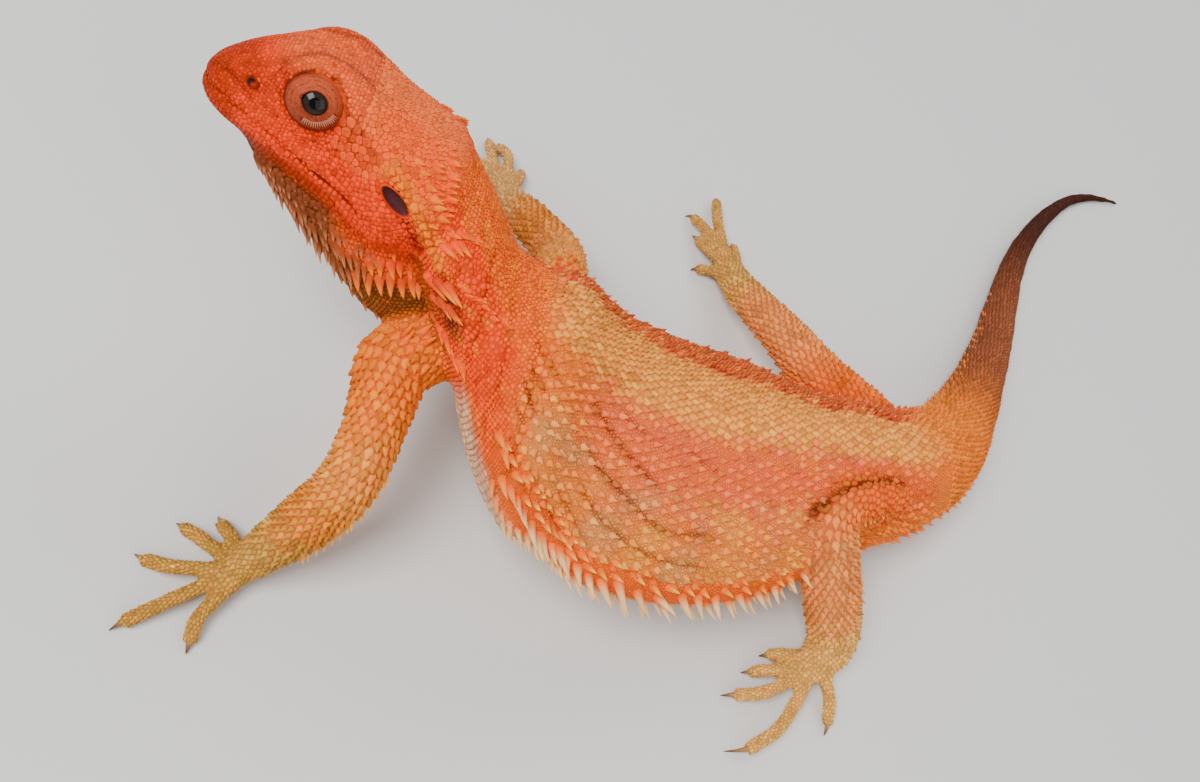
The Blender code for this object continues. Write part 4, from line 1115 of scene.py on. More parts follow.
def relaxed(roots, skin, rounds):
    """Moves each root to the middle of its cell and back onto the skin, so many rounds."""
    points, _, distance = skin.touch(roots.points)
    roots = thin_out(keep(roots._replace(points=points), distance < 2.0), 0.62)
    angles = full_turn(8)
    for _ in range(rounds):
        points, normals, _ = skin.touch(roots.points)
        lie = np.broadcast_to((0.3, 0.9, 0.1), points.shape)
        cells = Cells(points, normals, lie, roots.size)
        reach = cells.reach(np.arange(len(points)), 8)
        area = (reach**2).sum(1).clip(1e-9)
        a = (reach**3 * np.cos(angles)).sum(1) / area * 0.67
        b = (reach**3 * np.sin(angles)).sum(1) / area * 0.67
        free = (roots.order > 0)[:, None]
        points = points + (cells.back * a[:, None] + cells.across * b[:, None]) * free
        roots = roots._replace(points=skin.touch(points)[0])
    return roots


def filled(roots, skin, rounds):
    """Adds roots of order 1 wherever the skin lies further from any root than that root's size times 0.95."""
    for _ in range(rounds):
        tree = tree_of(roots.points)
        found = [tree.find(point)[1:] for point in skin.points.tolist()]
        nearest = np.array([place[0] for place in found])
        away = np.array([place[1] for place in found])
        bare = (away > roots.size[nearest] * 0.95) & (skin.points[:, 2] > FILL_FLOOR - frame_shift()[2])
        bare &= clear_of_features(skin.points)
        if not bare.any():
            break
        rows = nearest[bare]
        fresh = Roots(skin.points[bare], roots.size[rows], roots.style[rows], np.ones(bare.sum(), int))
        roots = gathered([roots, thin_out(fresh, 1.0)])
    return roots


def fan_faces(sides, rings):
    """Triangles of one scale: its walls ring by ring, its top up to the peak, and its underside."""
    place, following = ring_numbers(sides)
    faces = []
    for ring in range(rings - 1):
        low = ring * sides
        high = low + sides
        faces.append(np.stack([low + place, low + following, high + following], -1))
        faces.append(np.stack([low + place, high + following, high + place], -1))
    top = (rings - 1) * sides
    faces.append(np.stack([top + place, top + following, np.full(sides, rings * sides)], -1))
    under = np.arange(1, sides - 1)
    faces.append(np.stack([np.zeros(sides - 2, int), under + 1, under], -1))
    return np.concatenate(faces)


# Rings of a scale: radius, height, share of keel and lift, share of the rim's colour
SCALE_STEPS = ((1.0, -0.9, 0.0, 1.0), (0.9, 0.55, 0.6, 0.55), (0.52, 0.95, 1.0, 0.0))


def scale_shapes(points, normals, cells, rows, style, seed):
    """Scales of one style: a rim sunk in the skin, a raised rim, an inner ring and a peak, with a keel.

    Ring radius is the cell's reach less half the gap, times 1, 0.9 and 0.52. The backward corner reaches
    further and is lifted, its neighbours are drawn in, and the corners fore and aft are raised by the keel.
    Gives the points, their flat places for the unwrap, and how much of the rim's and the point's colour
    each has.
    """
    draw = np.random.default_rng(seed)
    count = len(rows)
    angles = full_turn(style.sides)
    reach = np.maximum(cells.reach(rows, style.sides) - style.gap / 2, 0.12)
    tall = cells.size[rows] * settings().scale_relief * draw.uniform(0.85, 1.15, count)
    turn = np.minimum(angles, 2 * math.pi - angles)
    aft = bell(turn, 0.35)
    drawn_in = 0.4 * style.reach * bell(turn - math.pi / 4, 0.4)
    keel = np.maximum(aft, bell(math.pi - turn, 0.35))
    steps = SCALE_STEPS[: style.rings]
    far, high, rim, tip = [], [], [], []
    for radius, level, ridge, dark in steps:
        far.append(reach * radius * (1 + style.reach * aft * (radius if ridge else 0.4) - drawn_in))
        lifted = level * style.height + ridge * style.keel * keel
        if ridge:
            lifted = lifted + style.lift * aft * radius
        high.append(tall[:, None] * lifted)
        rim.append(np.full(style.sides, dark))
        tip.append(aft * ridge * (1.6 - radius))
    far = np.concatenate(far, 1)
    turn = np.tile(angles, len(steps))
    middle = (reach[:, 0] - reach[:, style.sides // 2]) * 0.3 + reach[:, 0] * 0.1
    a = np.concatenate([far * np.cos(turn), middle[:, None]], 1)
    b = np.concatenate([far * np.sin(turn), np.zeros((count, 1))], 1)
    high = np.concatenate([*high, (tall * (style.height + style.keel))[:, None]], 1)
    rim = np.concatenate([*rim, [0.0]])
    tip = np.concatenate([*tip, [0.15 if style.keel > 0.1 else 0.0]])
    body = points[rows][:, None] + cells.back[rows][:, None] * a[..., None]
    body = body + cells.across[rows][:, None] * b[..., None] + normals[rows][:, None] * high[..., None]
    wide = np.maximum(np.abs(a).max(1), np.abs(b).max(1))[:, None]
    return body, np.stack([a / wide, b / wide], -1), rim, tip


# Colour that scales pale towards, what darkens a rim, and half the width of one scale in the unwrap
PALE = np.array((0.95, 0.42, 0.07))
RIM_SHADE = np.array((0.42, 0.34, 0.34))
UNWRAP_PATCH = 0.0015


class Heap:
    """Collects many small closed shapes into one mesh with colours and the unwrap."""

    def __init__(self):
        self.points, self.faces, self.colours, self.unwraps, self.count = [], [], [], [], 0

    def add(self, body, faces, colour, unwrap):
        """Adds shapes alike in build: body is count by points by axis, and faces those of one shape."""
        count, size, _ = body.shape
        start = self.count + np.arange(count)[:, None, None] * size
        self.points.append(body.reshape(-1, 3))
        self.faces.append((start + faces[None]).reshape(-1, 3))
        self.colours.append(np.broadcast_to(colour, body.shape).reshape(-1, 3))
        self.unwraps.append(unwrap.reshape(-1, 2))
        self.count += count * size

    def mesh(self, name):
        """The mesh of all shapes, in metres in the frame."""
        faces = np.concatenate(self.faces)
        mesh = new_mesh(name, to_frame(np.concatenate(self.points)), faces)
        paint(mesh, np.concatenate(self.colours))
        layer = mesh.uv_layers.new(name="OFBake")
        layer.data.foreach_set("uv", np.concatenate(self.unwraps)[faces.ravel()].astype(np.float32).ravel())
        return mesh


def scale_colours(base, rim, tip, style, seed):
    """Colour of every point of the scales: each scale a little different, rim dark or pale, point pale."""
    draw = np.random.default_rng(seed)
    spread = settings().colour_spread
    light = np.exp(draw.normal(0, spread, (len(base), 1)))
    hue = np.exp(draw.normal(0, spread * 0.35, (len(base), 3)))
    own = (base * light * hue)[:, None]
    dark = own * RIM_SHADE
    pale = own * 0.45 + PALE * 0.55 * np.clip(own.max(-1, keepdims=True) * 1.3, 0, 1)
    edge = pale if style.rim < 0 else dark
    colour = own + (edge - own) * (rim * abs(style.rim))[None, :, None]
    sharp = draw.uniform(0.6, 1.3, (len(base), 1, 1)) * style.tip
    return np.clip(colour + (pale - colour) * np.clip(tip[None, :, None] * sharp, 0, 1), 0, 1)


class Skin:
    """The joined skin as triangles with smooth normals, and the nearest place on it."""

    def __init__(self, points, triangles, normals):
        self.points = points
        self.triangles = triangles
        self.normals = normals
        self.tree = BVHTree.FromPolygons(points.tolist(), triangles.tolist())

    def at_faces(self, touched, face):
        """Smooth normals at these places on these triangles, nearer corners counting more."""
        corners = self.triangles[face]
        gap = np.linalg.norm(self.points[corners] - touched[:, None], axis=2)
        weight = 1 / np.maximum(gap, 0.05)
        return unit((self.normals[corners] * weight[..., None]).sum(1))

    def touch(self, points):
        """Nearest places on the skin, the normals there and the distances."""
        found = [self.tree.find_nearest(point) for point in points.tolist()]
        touched = np.array([place[0][:] for place in found])
        face = np.array([place[2] for place in found])
        return touched, self.at_faces(touched, face), np.array([place[3] for place in found])

    def along(self, points, direction):
        """Where straight lines from these points, all one way, meet the skin, leaving out those that miss."""
        hits = [self.tree.ray_cast(point, direction.tolist())[0] for point in points.tolist()]
        return np.array([hit[:] for hit in hits if hit is not None])


def ear_axes(side):
    """Long, short and outward axes of one ear opening."""
    axes = head_axes()
    outward = axes[1] * side
    lengthwise = unit(axes[0] * 0.89 + axes[2] * 0.46)
    return np.array([lengthwise, np.cross(outward, lengthwise), outward])


def features(points, side):
    """Places in the frames of the eyelid and the ear of one side, and distances from its nostril."""
    lid = (points - at_side(LID_CENTRE, side)) @ lid_axes(side).T
    ear = (points - at_side(EAR_CENTRE, side)) @ ear_axes(side).T
    return lid, ear, np.linalg.norm(points - at_side(NOSTRIL_CENTRE, side), axis=1)


def skin_relief(points, spot):
    """Height of the finished skin over the joined tubes, and how much painted shade darkens each crease and
    hollow.

    Sum of: the mouth groove with its lips, hollows under eyes, ears and nostrils, wrinkles round the
    lids, ridges over the digits in hands and feet, the lines of the head, flank and shoulder folds, and
    a soft unevenness.
    """
    x, y, z = to_head(points).T
    onto_head = (spot.part == "head") & (x > 3)
    away = line_distance(np.stack([x, z], -1), MOUTH_LINE)
    along = onto_head * rise(x, 5.5, 8) * (1 - 0.6 * rise(x, 19, 27))
    groove = bell(away, 0.55) * along
    height = -0.9 * groove + 0.25 * (bell(away - 1.6, 0.9) * along)
    # The dark share is painted shade: in the mouth groove, the groove round each lid and the troughs of its
    # wrinkles, the ear and nostril pits, the lines behind the ear and below the jaw corner, and the creases
    # of flank and shoulder.
    dark = groove.copy()
    for side in (1, -1):
        lid, ear, nostril = features(points, side)
        around = np.hypot(lid[:, 0] / LID_SIZE[0], lid[:, 1] / LID_SIZE[1])
        outer = lid[:, 2] > -3
        height -= 1.6 * (1 - rise(around, 0.8, 0.97)) * outer
        ring = bell(around - 1.04, 0.05) * outer
        height -= 0.5 * ring
        wrinkle = np.sin((around - 1.0) * 26) * between(around, 1.15, 1.65, 0.15)
        wrinkle = wrinkle * outer * (lid[:, 1] * side > -3)
        height += 0.22 * wrinkle
        dark += 0.35 * np.clip(-wrinkle, 0, 1)
        dark += 0.8 * ring
        inside = np.hypot(ear[:, 0] / 4.1, ear[:, 1] / 1.75)
        pit = (1 - rise(inside, 0.75, 1.05)) * (np.abs(ear[:, 2]) < 5)
        hollow = 1 - rise(nostril, 0.6, 1.3)
        height -= 2.4 * pit + 1.6 * hollow
        dark += pit + hollow
    for limb, digits in DIGITS.items():
        palm = (spot.part == limb) & (spot.share > 0.84)
        ridge = np.zeros(len(points))
        for root, knuckle, *_ in np.array(digits):
            line = np.array([root - (knuckle - root) * 0.5, knuckle])[:, :2]
            ridge = np.maximum(ridge, bell(line_distance(points[:, :2], line), 1.3))
        height += (0.7 * ridge - 0.55) * palm * rise(spot.share, 0.88, 0.95)
    for hue, _, push, near in head_lines(points):
        height += push * near
        dark += 0.5 * near * (hue in ("ear", "crease_shade"))
    row, over = body_place(spot.share, spot.angle)
    body = spot.part == "body"
    folds = fold_depth(row, over, points) * body
    height -= 0.75 * folds
    dark += 0.6 * folds
    shoulder = between(row, 1.2, 3.4, 0.4) * between(over, -40, 60, 12) * body
    crease = creases(row * 3.6 + over * 0.03) * shoulder
    height -= 0.8 * crease
    dark += 0.5 * crease
    soft = waves(points, 7, 41) * 0.16 + waves(points, 3, 42) * 0.07
    calm = np.where(spot.part == "head", 0.3, 1.0) * np.where(np.char.find(spot.part, "digit") >= 0, 0.3, 1.0)
    height += soft * calm
    return height, np.clip(dark, 0, 1)


# What the skin's operator hands on to the others: the tubes and the skin
work = {}


def new_node(nodes, kind, **constants):
    """Shader node with constants at the inputs of these names."""
    node = nodes.new(kind)
    for name, constant in constants.items():
        node.inputs[name].default_value = constant
    return node


def math_node(nodes, operation, number, constant):
    """Math node with a constant at one of its inputs."""
    node = nodes.new("ShaderNodeMath")
    node.operation = operation
    node.inputs[number].default_value = constant
    return node


def colour_group():
    """Node group: breaks a colour up with noise, and gives a roughness and a height for bumps."""
    name = "skin mottle"
    if name in bpy.data.node_groups:
        return bpy.data.node_groups[name]
    group = bpy.data.node_groups.new(name, "ShaderNodeTree")
    face = group.interface
    face.new_socket("Colour", in_out="INPUT", socket_type="NodeSocketColor")
    for label, value in (("Size", 900.0), ("Strength", 0.25), ("Base Roughness", 0.5)):
        face.new_socket(label, in_out="INPUT", socket_type="NodeSocketFloat").default_value = value
    face.new_socket("Colour", in_out="OUTPUT", socket_type="NodeSocketColor")
    face.new_socket("Roughness", in_out="OUTPUT", socket_type="NodeSocketFloat")
    face.new_socket("Height", in_out="OUTPUT", socket_type="NodeSocketFloat")
    nodes = group.nodes
    entry = nodes.new("NodeGroupInput")
    leave = nodes.new("NodeGroupOutput")
    spot = nodes.new("ShaderNodeTexCoord")
    noise = new_node(nodes, "ShaderNodeTexNoise", Detail=4.0, Roughness=0.6)
    centred = math_node(nodes, "SUBTRACT", 1, 0.5)
    amount = math_node(nodes, "MULTIPLY_ADD", 2, 1.0)
    strong = math_node(nodes, "MULTIPLY", 1, 3.0)
    rough = math_node(nodes, "MULTIPLY_ADD", 1, 0.5)
    tint = nodes.new("ShaderNodeVectorMath")
    tint.operation = "SCALE"
    for source, target in (
        (spot.outputs["Object"], noise.inputs["Vector"]),
        (entry.outputs["Size"], noise.inputs["Scale"]),
        (noise.outputs["Fac"], centred.inputs[0]),
        (centred.outputs[0], amount.inputs[0]),
        (entry.outputs["Strength"], strong.inputs[0]),
        (strong.outputs[0], amount.inputs[1]),
        (entry.outputs["Colour"], tint.inputs[0]),
        (amount.outputs[0], tint.inputs["Scale"]),
        (tint.outputs["Vector"], leave.inputs["Colour"]),
        (centred.outputs[0], rough.inputs[0]),
        (entry.outputs["Base Roughness"], rough.inputs[2]),
        (rough.outputs[0], leave.inputs["Roughness"]),
        (noise.outputs["Fac"], leave.inputs["Height"]),
    ):
        group.links.new(source, target)
    return group


def painted_material(name, size, strength, roughness, bump, coat=0.0, shine=0.06):
    """Material that takes its colour from the surface's own colours, broken up by the mottle group."""
    material = bpy.data.materials.new(name)
    material.use_nodes = True
    nodes = material.node_tree.nodes
    link = material.node_tree.links.new
    shader = nodes["Principled BSDF"]
    source = nodes.new("ShaderNodeAttribute")
    source.attribute_name = "scale_colour"
    group = nodes.new("ShaderNodeGroup")
    group.node_tree = colour_group()
    for label, value in (("Size", size), ("Strength", strength), ("Base Roughness", roughness)):
        group.inputs[label].default_value = value
    link(source.outputs["Color"], group.inputs["Colour"])
    link(group.outputs["Colour"], shader.inputs["Base Color"])
    link(group.outputs["Roughness"], shader.inputs["Roughness"])
    relief = new_node(nodes, "ShaderNodeBump", Strength=bump, Distance=0.0002)
    link(group.outputs["Height"], relief.inputs["Height"])
    link(relief.outputs["Normal"], shader.inputs["Normal"])
    shader.inputs["Coat Weight"].default_value = coat
    shader.inputs["Specular IOR Level"].default_value = shine
    return material


FLESH = ["head", "lower_jaw", "beard", "neck", "torso", "tail_base", "tail_mid", "tail_end", "tail_tip"]
for limb_part in ("upper_arm", "forearm", "hand", "thigh", "shin", "foot"):
    FLESH += [f"{limb_part}_left", f"{limb_part}_right"]


# How much darker the skin is than the scales on it
SKIN_SHADE = (0.72, 0.6, 0.6)
# Least height over the floor, in millimetres, of the skin and of the roots of scales
SKIN_FLOOR = 0.25
FILL_FLOOR = 0.5
SCALE_FLOOR = 0.6


class DRAGON_OT_skin(bpy.types.Operator):
    """Joins all tubes into one skin with folds, mouth line and hollows for eyes and ears"""

    bl_idname = "dragon.skin"
    bl_label = "Build skin"

    def execute(self, context):
        lofts = build_lofts()
        joined = joined_skin(lofts)
        points = read(joined.vertices, "co", 3)
        edges = read(joined.edges, "vertices", 2, np.int32)
        spot = locate(points, lofts)
        meeting = 1 - rise(spot.second - spot.distance, 1, 5)
        slender = np.char.find(spot.part, "digit") >= 0
        points = even_out(points, edges, np.where(slender, 0.2, 0.5), 2)
        firm = slender | (spot.part == "left_leg")
        points = even_out(points, edges, np.where(firm, 0.08, 0.5) * meeting, 14)
        joined.vertices.foreach_set("co", points.astype(np.float32).ravel())
        joined.update()
        height, dark = skin_relief(points, spot)
        points = points + read(joined.vertex_normals, "vector", 3) * height[:, None]
        points[:, 2] = np.maximum(points[:, 2], SKIN_FLOOR - frame_shift()[2])
        quads = read(joined.loops, "vertex_index", 1, np.int32).reshape(-1, 4)
        mesh = new_mesh("skin", to_frame(points), quads)
        # Skin colour: darker than the scales by SKIN_SHADE, and darker still where skin_relief puts painted
        # shade into creases, grooves and hollows.
        paint(mesh, spot.colour * SKIN_SHADE * (1 - 0.85 * dark[:, None]))
        item = place(mesh, painted_material("dragon_skin", 700.0, 0.25, 0.62, 0.6), "trunk_skin")
        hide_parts(*FLESH)
        normals = read(mesh.vertex_normals, "vector", 3)
        work["lofts"] = lofts
        work["skin"] = Skin(points, halved(quads), normals)
        return {"FINISHED"}


def explicit(points, size, style):
    """Roots at given places, which keep their ground from all others."""
    count = len(points)
    styles = np.full(count, STYLE_NAMES.index(style))
    return Roots(points, np.full(count, float(size)), styles, np.zeros(count, int))


def head_rows(skin):
    """Larger scales of the head in rows: along both lips, over the brow, round the ear and behind it."""
    rows = []
    line = np.array(MOUTH_LINE)
    ridge = np.array(next(corners for hue, *_, corners in HEAD_LINES if hue == "ridge"))
    ridge = rows_at(np.linspace(0, len(ridge) - 1, 13), np.arange(len(ridge)), ridge)
    forward, left, _ = head_axes()
    for side in (1, -1):
        inward = -left * side
        for offset in (0.8, -0.8):
            x = np.arange(8.5, 42.5, 1.15)
            z = np.interp(-x, -line[:, 0], line[:, 1]) + offset
            start = from_head(np.stack([x, np.full(len(x), 30.0 * side), z], -1))
            rows.append(explicit(skin.along(start, inward), 1.15, "smooth"))
        turn = np.radians(np.arange(20, 170, 9.0))
        brow = np.stack([np.cos(turn) * 7.0, np.sin(turn) * 6.5 * -side, np.full(len(turn), 0.4)], -1)
        rows.append(explicit(at_side(LID_CENTRE, side) + brow @ lid_axes(side), 1.25, "smooth"))
        turn = np.radians(np.arange(0, 360, 20.0))
        rim = np.stack([np.cos(turn) * 4.9, np.sin(turn) * 2.5, np.zeros(len(turn))], -1)
        rows.append(explicit(at_side(EAR_CENTRE, side) + rim @ ear_axes(side), 1.0, "granule"))
        rows.append(explicit(skin.along(at_side(ridge + (0, 10, 0), side), inward), 2.0, "tubercle"))
    y = np.arange(-3.2, 3.3, 1.2)
    for offset in (0.8, -0.8):
        start = from_head(np.stack([np.full(len(y), 60.0), y, np.full(len(y), -3.5 + offset)], -1))
        rows.append(explicit(skin.along(start, -forward), 1.2, "smooth"))
    return rows


def clear_of_features(points):
    """True where a root stands clear of eyelids, ears and nostrils."""
    clear = np.ones(len(points), bool)
    for side in (1, -1):
        lid, ear, nostril = features(points, side)
        clear &= (np.hypot(lid[:, 0] / 6.4, lid[:, 1] / 5.8) > 1) | (lid[:, 2] < -3)
        clear &= (np.hypot(ear[:, 0] / 4.5, ear[:, 1] / 2.0) > 1) | (np.abs(ear[:, 2]) > 5)
        clear &= nostril > 1.5
    return clear


# Pieces of the coat and the surface that each belongs to
PIECES = {
    "head_scales": "head_skin",
    "beard_scales": "beard_skin",
    "neck_scales": "neck_skin",
    "back_scales": "trunk_skin",
    "left_flank_scales": "trunk_skin",
    "right_flank_scales": "trunk_skin",
    "belly_scales": "trunk_skin",
    "tail_scales": "tail_skin",
    **{f"{limb}_scales": "limb_skin" for limb in LIMBS},
}


def piece_names(spot):
    """The piece that each scale belongs to, from where its root is."""
    row, over = body_place(spot.share, spot.angle)
    left = (over > -16) & (over <= 62)
    right = (over >= 120) & (over < 196)
    piece = np.select(
        [row < 2.6, row > 13.0, (over > 62) & (over < 120), left, right],
        ["neck_scales", "tail_scales", "back_scales", "left_flank_scales", "right_flank_scales"],
        "belly_scales",
    )
    for part in ("head", "beard", *LIMBS):
        piece = np.where(np.char.startswith(spot.part, part), f"{part}_scales", piece)
    return piece


class DRAGON_OT_scales(bpy.types.Operator):
    """Covers the skin with scales, a piece for each part of the body"""

    bl_idname = "dragon.scales"
    bl_label = "Build scales"

    def execute(self, context):
        lofts = work["lofts"]
        skin = work["skin"]
        zones = scale_zones(lofts)
        zones = keep(zones, clear_of_features(zones.points))
        roots = relaxed(gathered([*head_rows(skin), zones]), skin, 1)
        roots = keep(roots, clear_of_features(roots.points))
        roots = filled(roots, skin, 3)
        points, normals, _ = skin.touch(roots.points)
        spot = locate(points, lofts)
        lie = np.where((spot.part == "head")[:, None], -spot.lie, spot.lie)
        cells = Cells(points, normals, lie, roots.size)
        pieces = piece_names(spot)
        clear = points[:, 2] > SCALE_FLOOR - frame_shift()[2]
        material = painted_material("dragon_scales", 1500.0, 0.16, 0.46, 0.35)
        for name, slot in PIECES.items():
            heap = Heap()
            for number, label in enumerate(STYLE_NAMES):
                style = STYLES[label]
                wanted = ((pieces == name) & (roots.style == number) & clear).nonzero()[0]
                if not len(wanted):
                    continue
                body, flat, rim, tip = scale_shapes(points, normals, cells, wanted, style, 100 + number)
                colour = scale_colours(spot.colour[wanted], rim, tip, style, 200 + number)
                unwrap = spot.unwrap[wanted][:, None] + flat * UNWRAP_PATCH
                heap.add(body, fan_faces(style.sides, style.rings), colour, unwrap)
            place(heap.mesh(name), material, slot)
        return {"FINISHED"}


# Spine rows of each part: number on each side, first and last place, first and last angle, lengths at
# start, middle and end, thickness, flatness, lean outwards, backwards and upwards, colour of root and point
SPINE_ROWS = {
    "body": (
        (30, 3.1, 9.5, -4, 0, (4.6, 7.4, 4.4), 2.6, 1, (1, 0.38, -0.15), "fringe_band", "fringe_tip"),
        (28, 3.4, 9.5, -15, -10, (3.4, 5.2, 3.4), 2, 1, (1, 0.38, -0.22), "fringe_band", "fringe_tip"),
        (34, 4, 9.4, -26, -21, (2.6, 4.2, 2.6), 1.5, 1, (0.9, 0.4, -0.4), "fringe_tip", "fringe_tip"),
        (32, 3.3, 9.6, 4, 7, (2.2, 3, 2), 2, 1, (1, 0.6, 0.25), "fringe_band", "flank_yellow"),
        (30, 3.6, 9.6, 12, 16, (1.3, 1.8, 1.2), 1.8, 1, (0.9, 0.6, 0.45), "fringe_band", "flank_yellow"),
        (14, 9.8, 12.9, 0, 0, (1.8, 2.2, 1.8), 1.5, 1, (1, 0.7, 0), "thigh", "spine_orange"),
        (14, 10.2, 13.2, 14, 12, (1.4, 1.8, 1.6), 1.4, 1, (0.9, 0.8, 0.3), "thigh", "spine_orange"),
        (28, 13, 18, 0, 0, (2.6, 2, 1), 1.3, 1, (1, 0.9, 0), "tail_base", "shin"),
        (24, 13, 17.4, 14, 12, (1.8, 1.4, 0.8), 1.1, 1, (0.9, 0.9, 0.4), "tail_base", "shin"),
        (22, 13, 17, 26, 24, (1.7, 1.3, 0.8), 1.1, 1, (0.8, 0.9, 0.4), "tail_base", "shin"),
        (26, 2.8, 12.6, 60, 58, (1.3, 1.7, 1.3), 1.4, 0.8, (0.5, 1, 0.5), "back_edge", "flank_yellow"),
        (30, 2.6, 12.8, 50, 46, (1.8, 2.7, 1.8), 1.9, 0.8, (0.6, 0.9, 0.7), "back_edge", "flank_pink"),
        (30, 2.8, 12.6, 40, 36, (1.8, 2.8, 1.8), 1.9, 0.8, (0.8, 0.9, 0.5), "back_edge", "back_edge"),
        (30, 2.9, 12.4, 37, 33, (1.8, 2.6, 1.8), 1.8, 0.8, (0.9, 0.9, 0.3), "back_edge", "back_edge"),
        (6, 0.05, 0.5, -14, 24, (3.2, 4, 3), 2.2, 0.9, (0.85, 0.9, -0.05), "neck", "spine_orange"),
        (5, 0.35, 0.75, -26, -6, (4.8, 6, 5), 2.6, 0.8, (0.9, 0.8, -0.2), "neck", "spine_orange"),
        (5, 0.7, 1.1, -30, -8, (3.2, 4, 3.4), 1.9, 0.9, (0.9, 0.8, -0.15), "neck", "spine_orange"),
        (9, 1, 1.9, -44, -22, (3, 4.2, 3.2), 2, 0.8, (0.8, 0.6, -0.5), "neck", "spine_orange"),
        (7, 0.1, 0.9, 16, 52, (1.6, 2, 1.5), 1.5, 1, (0.6, 0.9, 0.3), "neck", "neck_speckle"),
        (11, 0.9, 2.2, 10, 46, (1.2, 1.5, 1.2), 1.3, 1, (0.6, 0.9, 0.4), "neck", "neck_speckle"),
    ),
    "beard": (
        (22, 0.9, 4.6, -44, -18, (2.6, 4.8, 4.8), 1.7, 0.5, (0.55, 0.55, -1), "beard_front", "beard_tip"),
        (10, 4.6, 7.4, -12, 42, (4.4, 4.4, 4), 2.7, 0.45, (0.65, 0.5, -0.9), "beard_rear", "spine_orange"),
        (22, 1, 4.7, -30, -2, (2.2, 3.6, 3.8), 1.6, 0.45, (0.45, 0.55, -1), "beard_front", "beard_tip"),
        (10, 4.7, 7.3, 6, 54, (3.2, 3.2, 2.8), 2.4, 0.4, (0.5, 0.5, -0.9), "beard_rear", "spine_orange"),
        (20, 1.2, 4.8, -16, 14, (1.8, 2.8, 2.8), 1.5, 0.4, (0.35, 0.55, -1), "beard_front", "beard_tip"),
        (9, 4.9, 7.2, 24, 62, (2.4, 2.4, 2.2), 2.1, 0.4, (0.4, 0.5, -0.9), "beard_rear", "neck_speckle"),
        (18, 1.4, 4.8, -2, 30, (1.4, 2, 2.2), 1.4, 0.4, (0.3, 0.55, -1), "beard_front", "beard_tip"),
        (12, 1.8, 6.6, -60, -34, (1.6, 2.2, 1.8), 1.4, 0.5, (0.3, 0.6, -1), "pouch", "beard_tip"),
    ),
    "head": (
        (7, 2.4, 0.1, 26, -6, (1.3, 1.9, 2.4), 2, 0.9, (0.6, 0.9, 0.25), "ridge", "spine_orange"),
        (6, 1.9, 0.15, 42, 12, (1.2, 1.7, 1.7), 1.8, 0.9, (0.5, 0.9, 0.35), "ridge", "spine_orange"),
        (12, 0.1, 1, 18, 70, (1.5, 2.3, 1.5), 1.5, 1, (0.5, 0.9, 0.55), "temple", "spine_orange"),
        (10, 0.6, 1.6, 20, 66, (1, 1.6, 1), 1.3, 1, (0.4, 0.9, 0.5), "temple", "spine_orange"),
    ),
}


def spine_rows(part, row, number):
    """Places, axes and sizes of one row of spines on both sides of a part."""
    count, first, last, angle_first, angle_last, lengths, *_, lean, _, _ = row
    draw = draws(number)
    share = np.linspace(0, 1, count)
    bases, directions, towards, sizes = [], [], [], []
    far_edge = part == "body" and angle_first > 36
    for side in (-1,) if far_edge else (1, -1):
        places = first + (last - first) * np.clip(share + draw.normal(0, 0.12 / count, count), 0, 1)
        rises = angle_first + (angle_last - angle_first) * share + draw.normal(0, 1.8, count)
        angles = (rises if side == 1 else 180 - rises) % 360
        column = np.round(angles * 2).astype(int) % 720
        make = {"body": body_rings, "beard": beard_rings, "head": head_rings}[part]
        bases.append(make(places, 720, coat_inset())[np.arange(count), column])
        if part == "body":
            along, left, up = body_axes(places)
        else:
            forward, left, up = (np.tile(axis, (count, 1)) for axis in head_axes())
            along = -forward
        aim = lean[0] * side * left + lean[1] * along + lean[2] * up
        directions.append(unit(unit(aim) + draw.normal(0, 0.1, (count, 3))))
        towards.append(along)
        sizes.append(np.interp(share, (0, 0.5, 1), lengths) * draw.uniform(0.78, 1.12, count))
    return [np.concatenate(values) for values in (bases, directions, towards, sizes)]


# Shares along a spine where its rings lie, the first sunk in the skin
SPINE_STEPS = np.array((-0.9, 0.0, 0.18, 0.4, 0.65, 0.86))
SPINE_SIDES = 8


def spine_shapes(bases, directions, towards, lengths, thick, flat):
    """Curved spines: rings whose radius is half the thickness times (1 - share) to the 0.8, bent backwards.

    The place along is length times share plus 0.15 of the length backwards times share squared. Flat is
    how thick a spine is from outside to inside, as a share of its breadth along the body.
    """
    wide = unit(np.cross(directions, towards))
    other = np.cross(wide, directions)
    steps = np.maximum(SPINE_STEPS, 0)
    radius = np.where(SPINE_STEPS < 0, 1.12, (1 - steps) ** 0.8 + 0.18 * np.exp(-steps * 9))
    radius = radius[None] * (thick / 2) * (lengths / lengths.max())[:, None] ** 0.4
    angles = full_turn(SPINE_SIDES)
    deep = np.where(SPINE_STEPS < 0, -1.1, 0)
    far = lengths[:, None] * steps + deep
    middle = bases[:, None] + directions[:, None] * far[..., None]
    middle = middle + towards[:, None] * (lengths[:, None] * 0.15 * steps**2)[..., None]
    ring = np.cos(angles)[:, None] * other[:, None] - np.sin(angles)[:, None] * wide[:, None] * flat
    body = middle[:, :, None] + ring[:, None] * radius[..., None, None]
    tip = bases + directions * lengths[:, None] + towards * (lengths * 0.15)[:, None]
    count = len(bases)
    body = np.concatenate([body.reshape(count, -1, 3), tip[:, None]], 1)
    share = np.concatenate([np.repeat(steps, SPINE_SIDES), [1.0]])
    turn = np.concatenate([np.tile(angles, len(steps)) / (2 * math.pi), [0.5]])
    return body, share, np.stack([share * 2 - 1, turn * 2 - 1], -1)


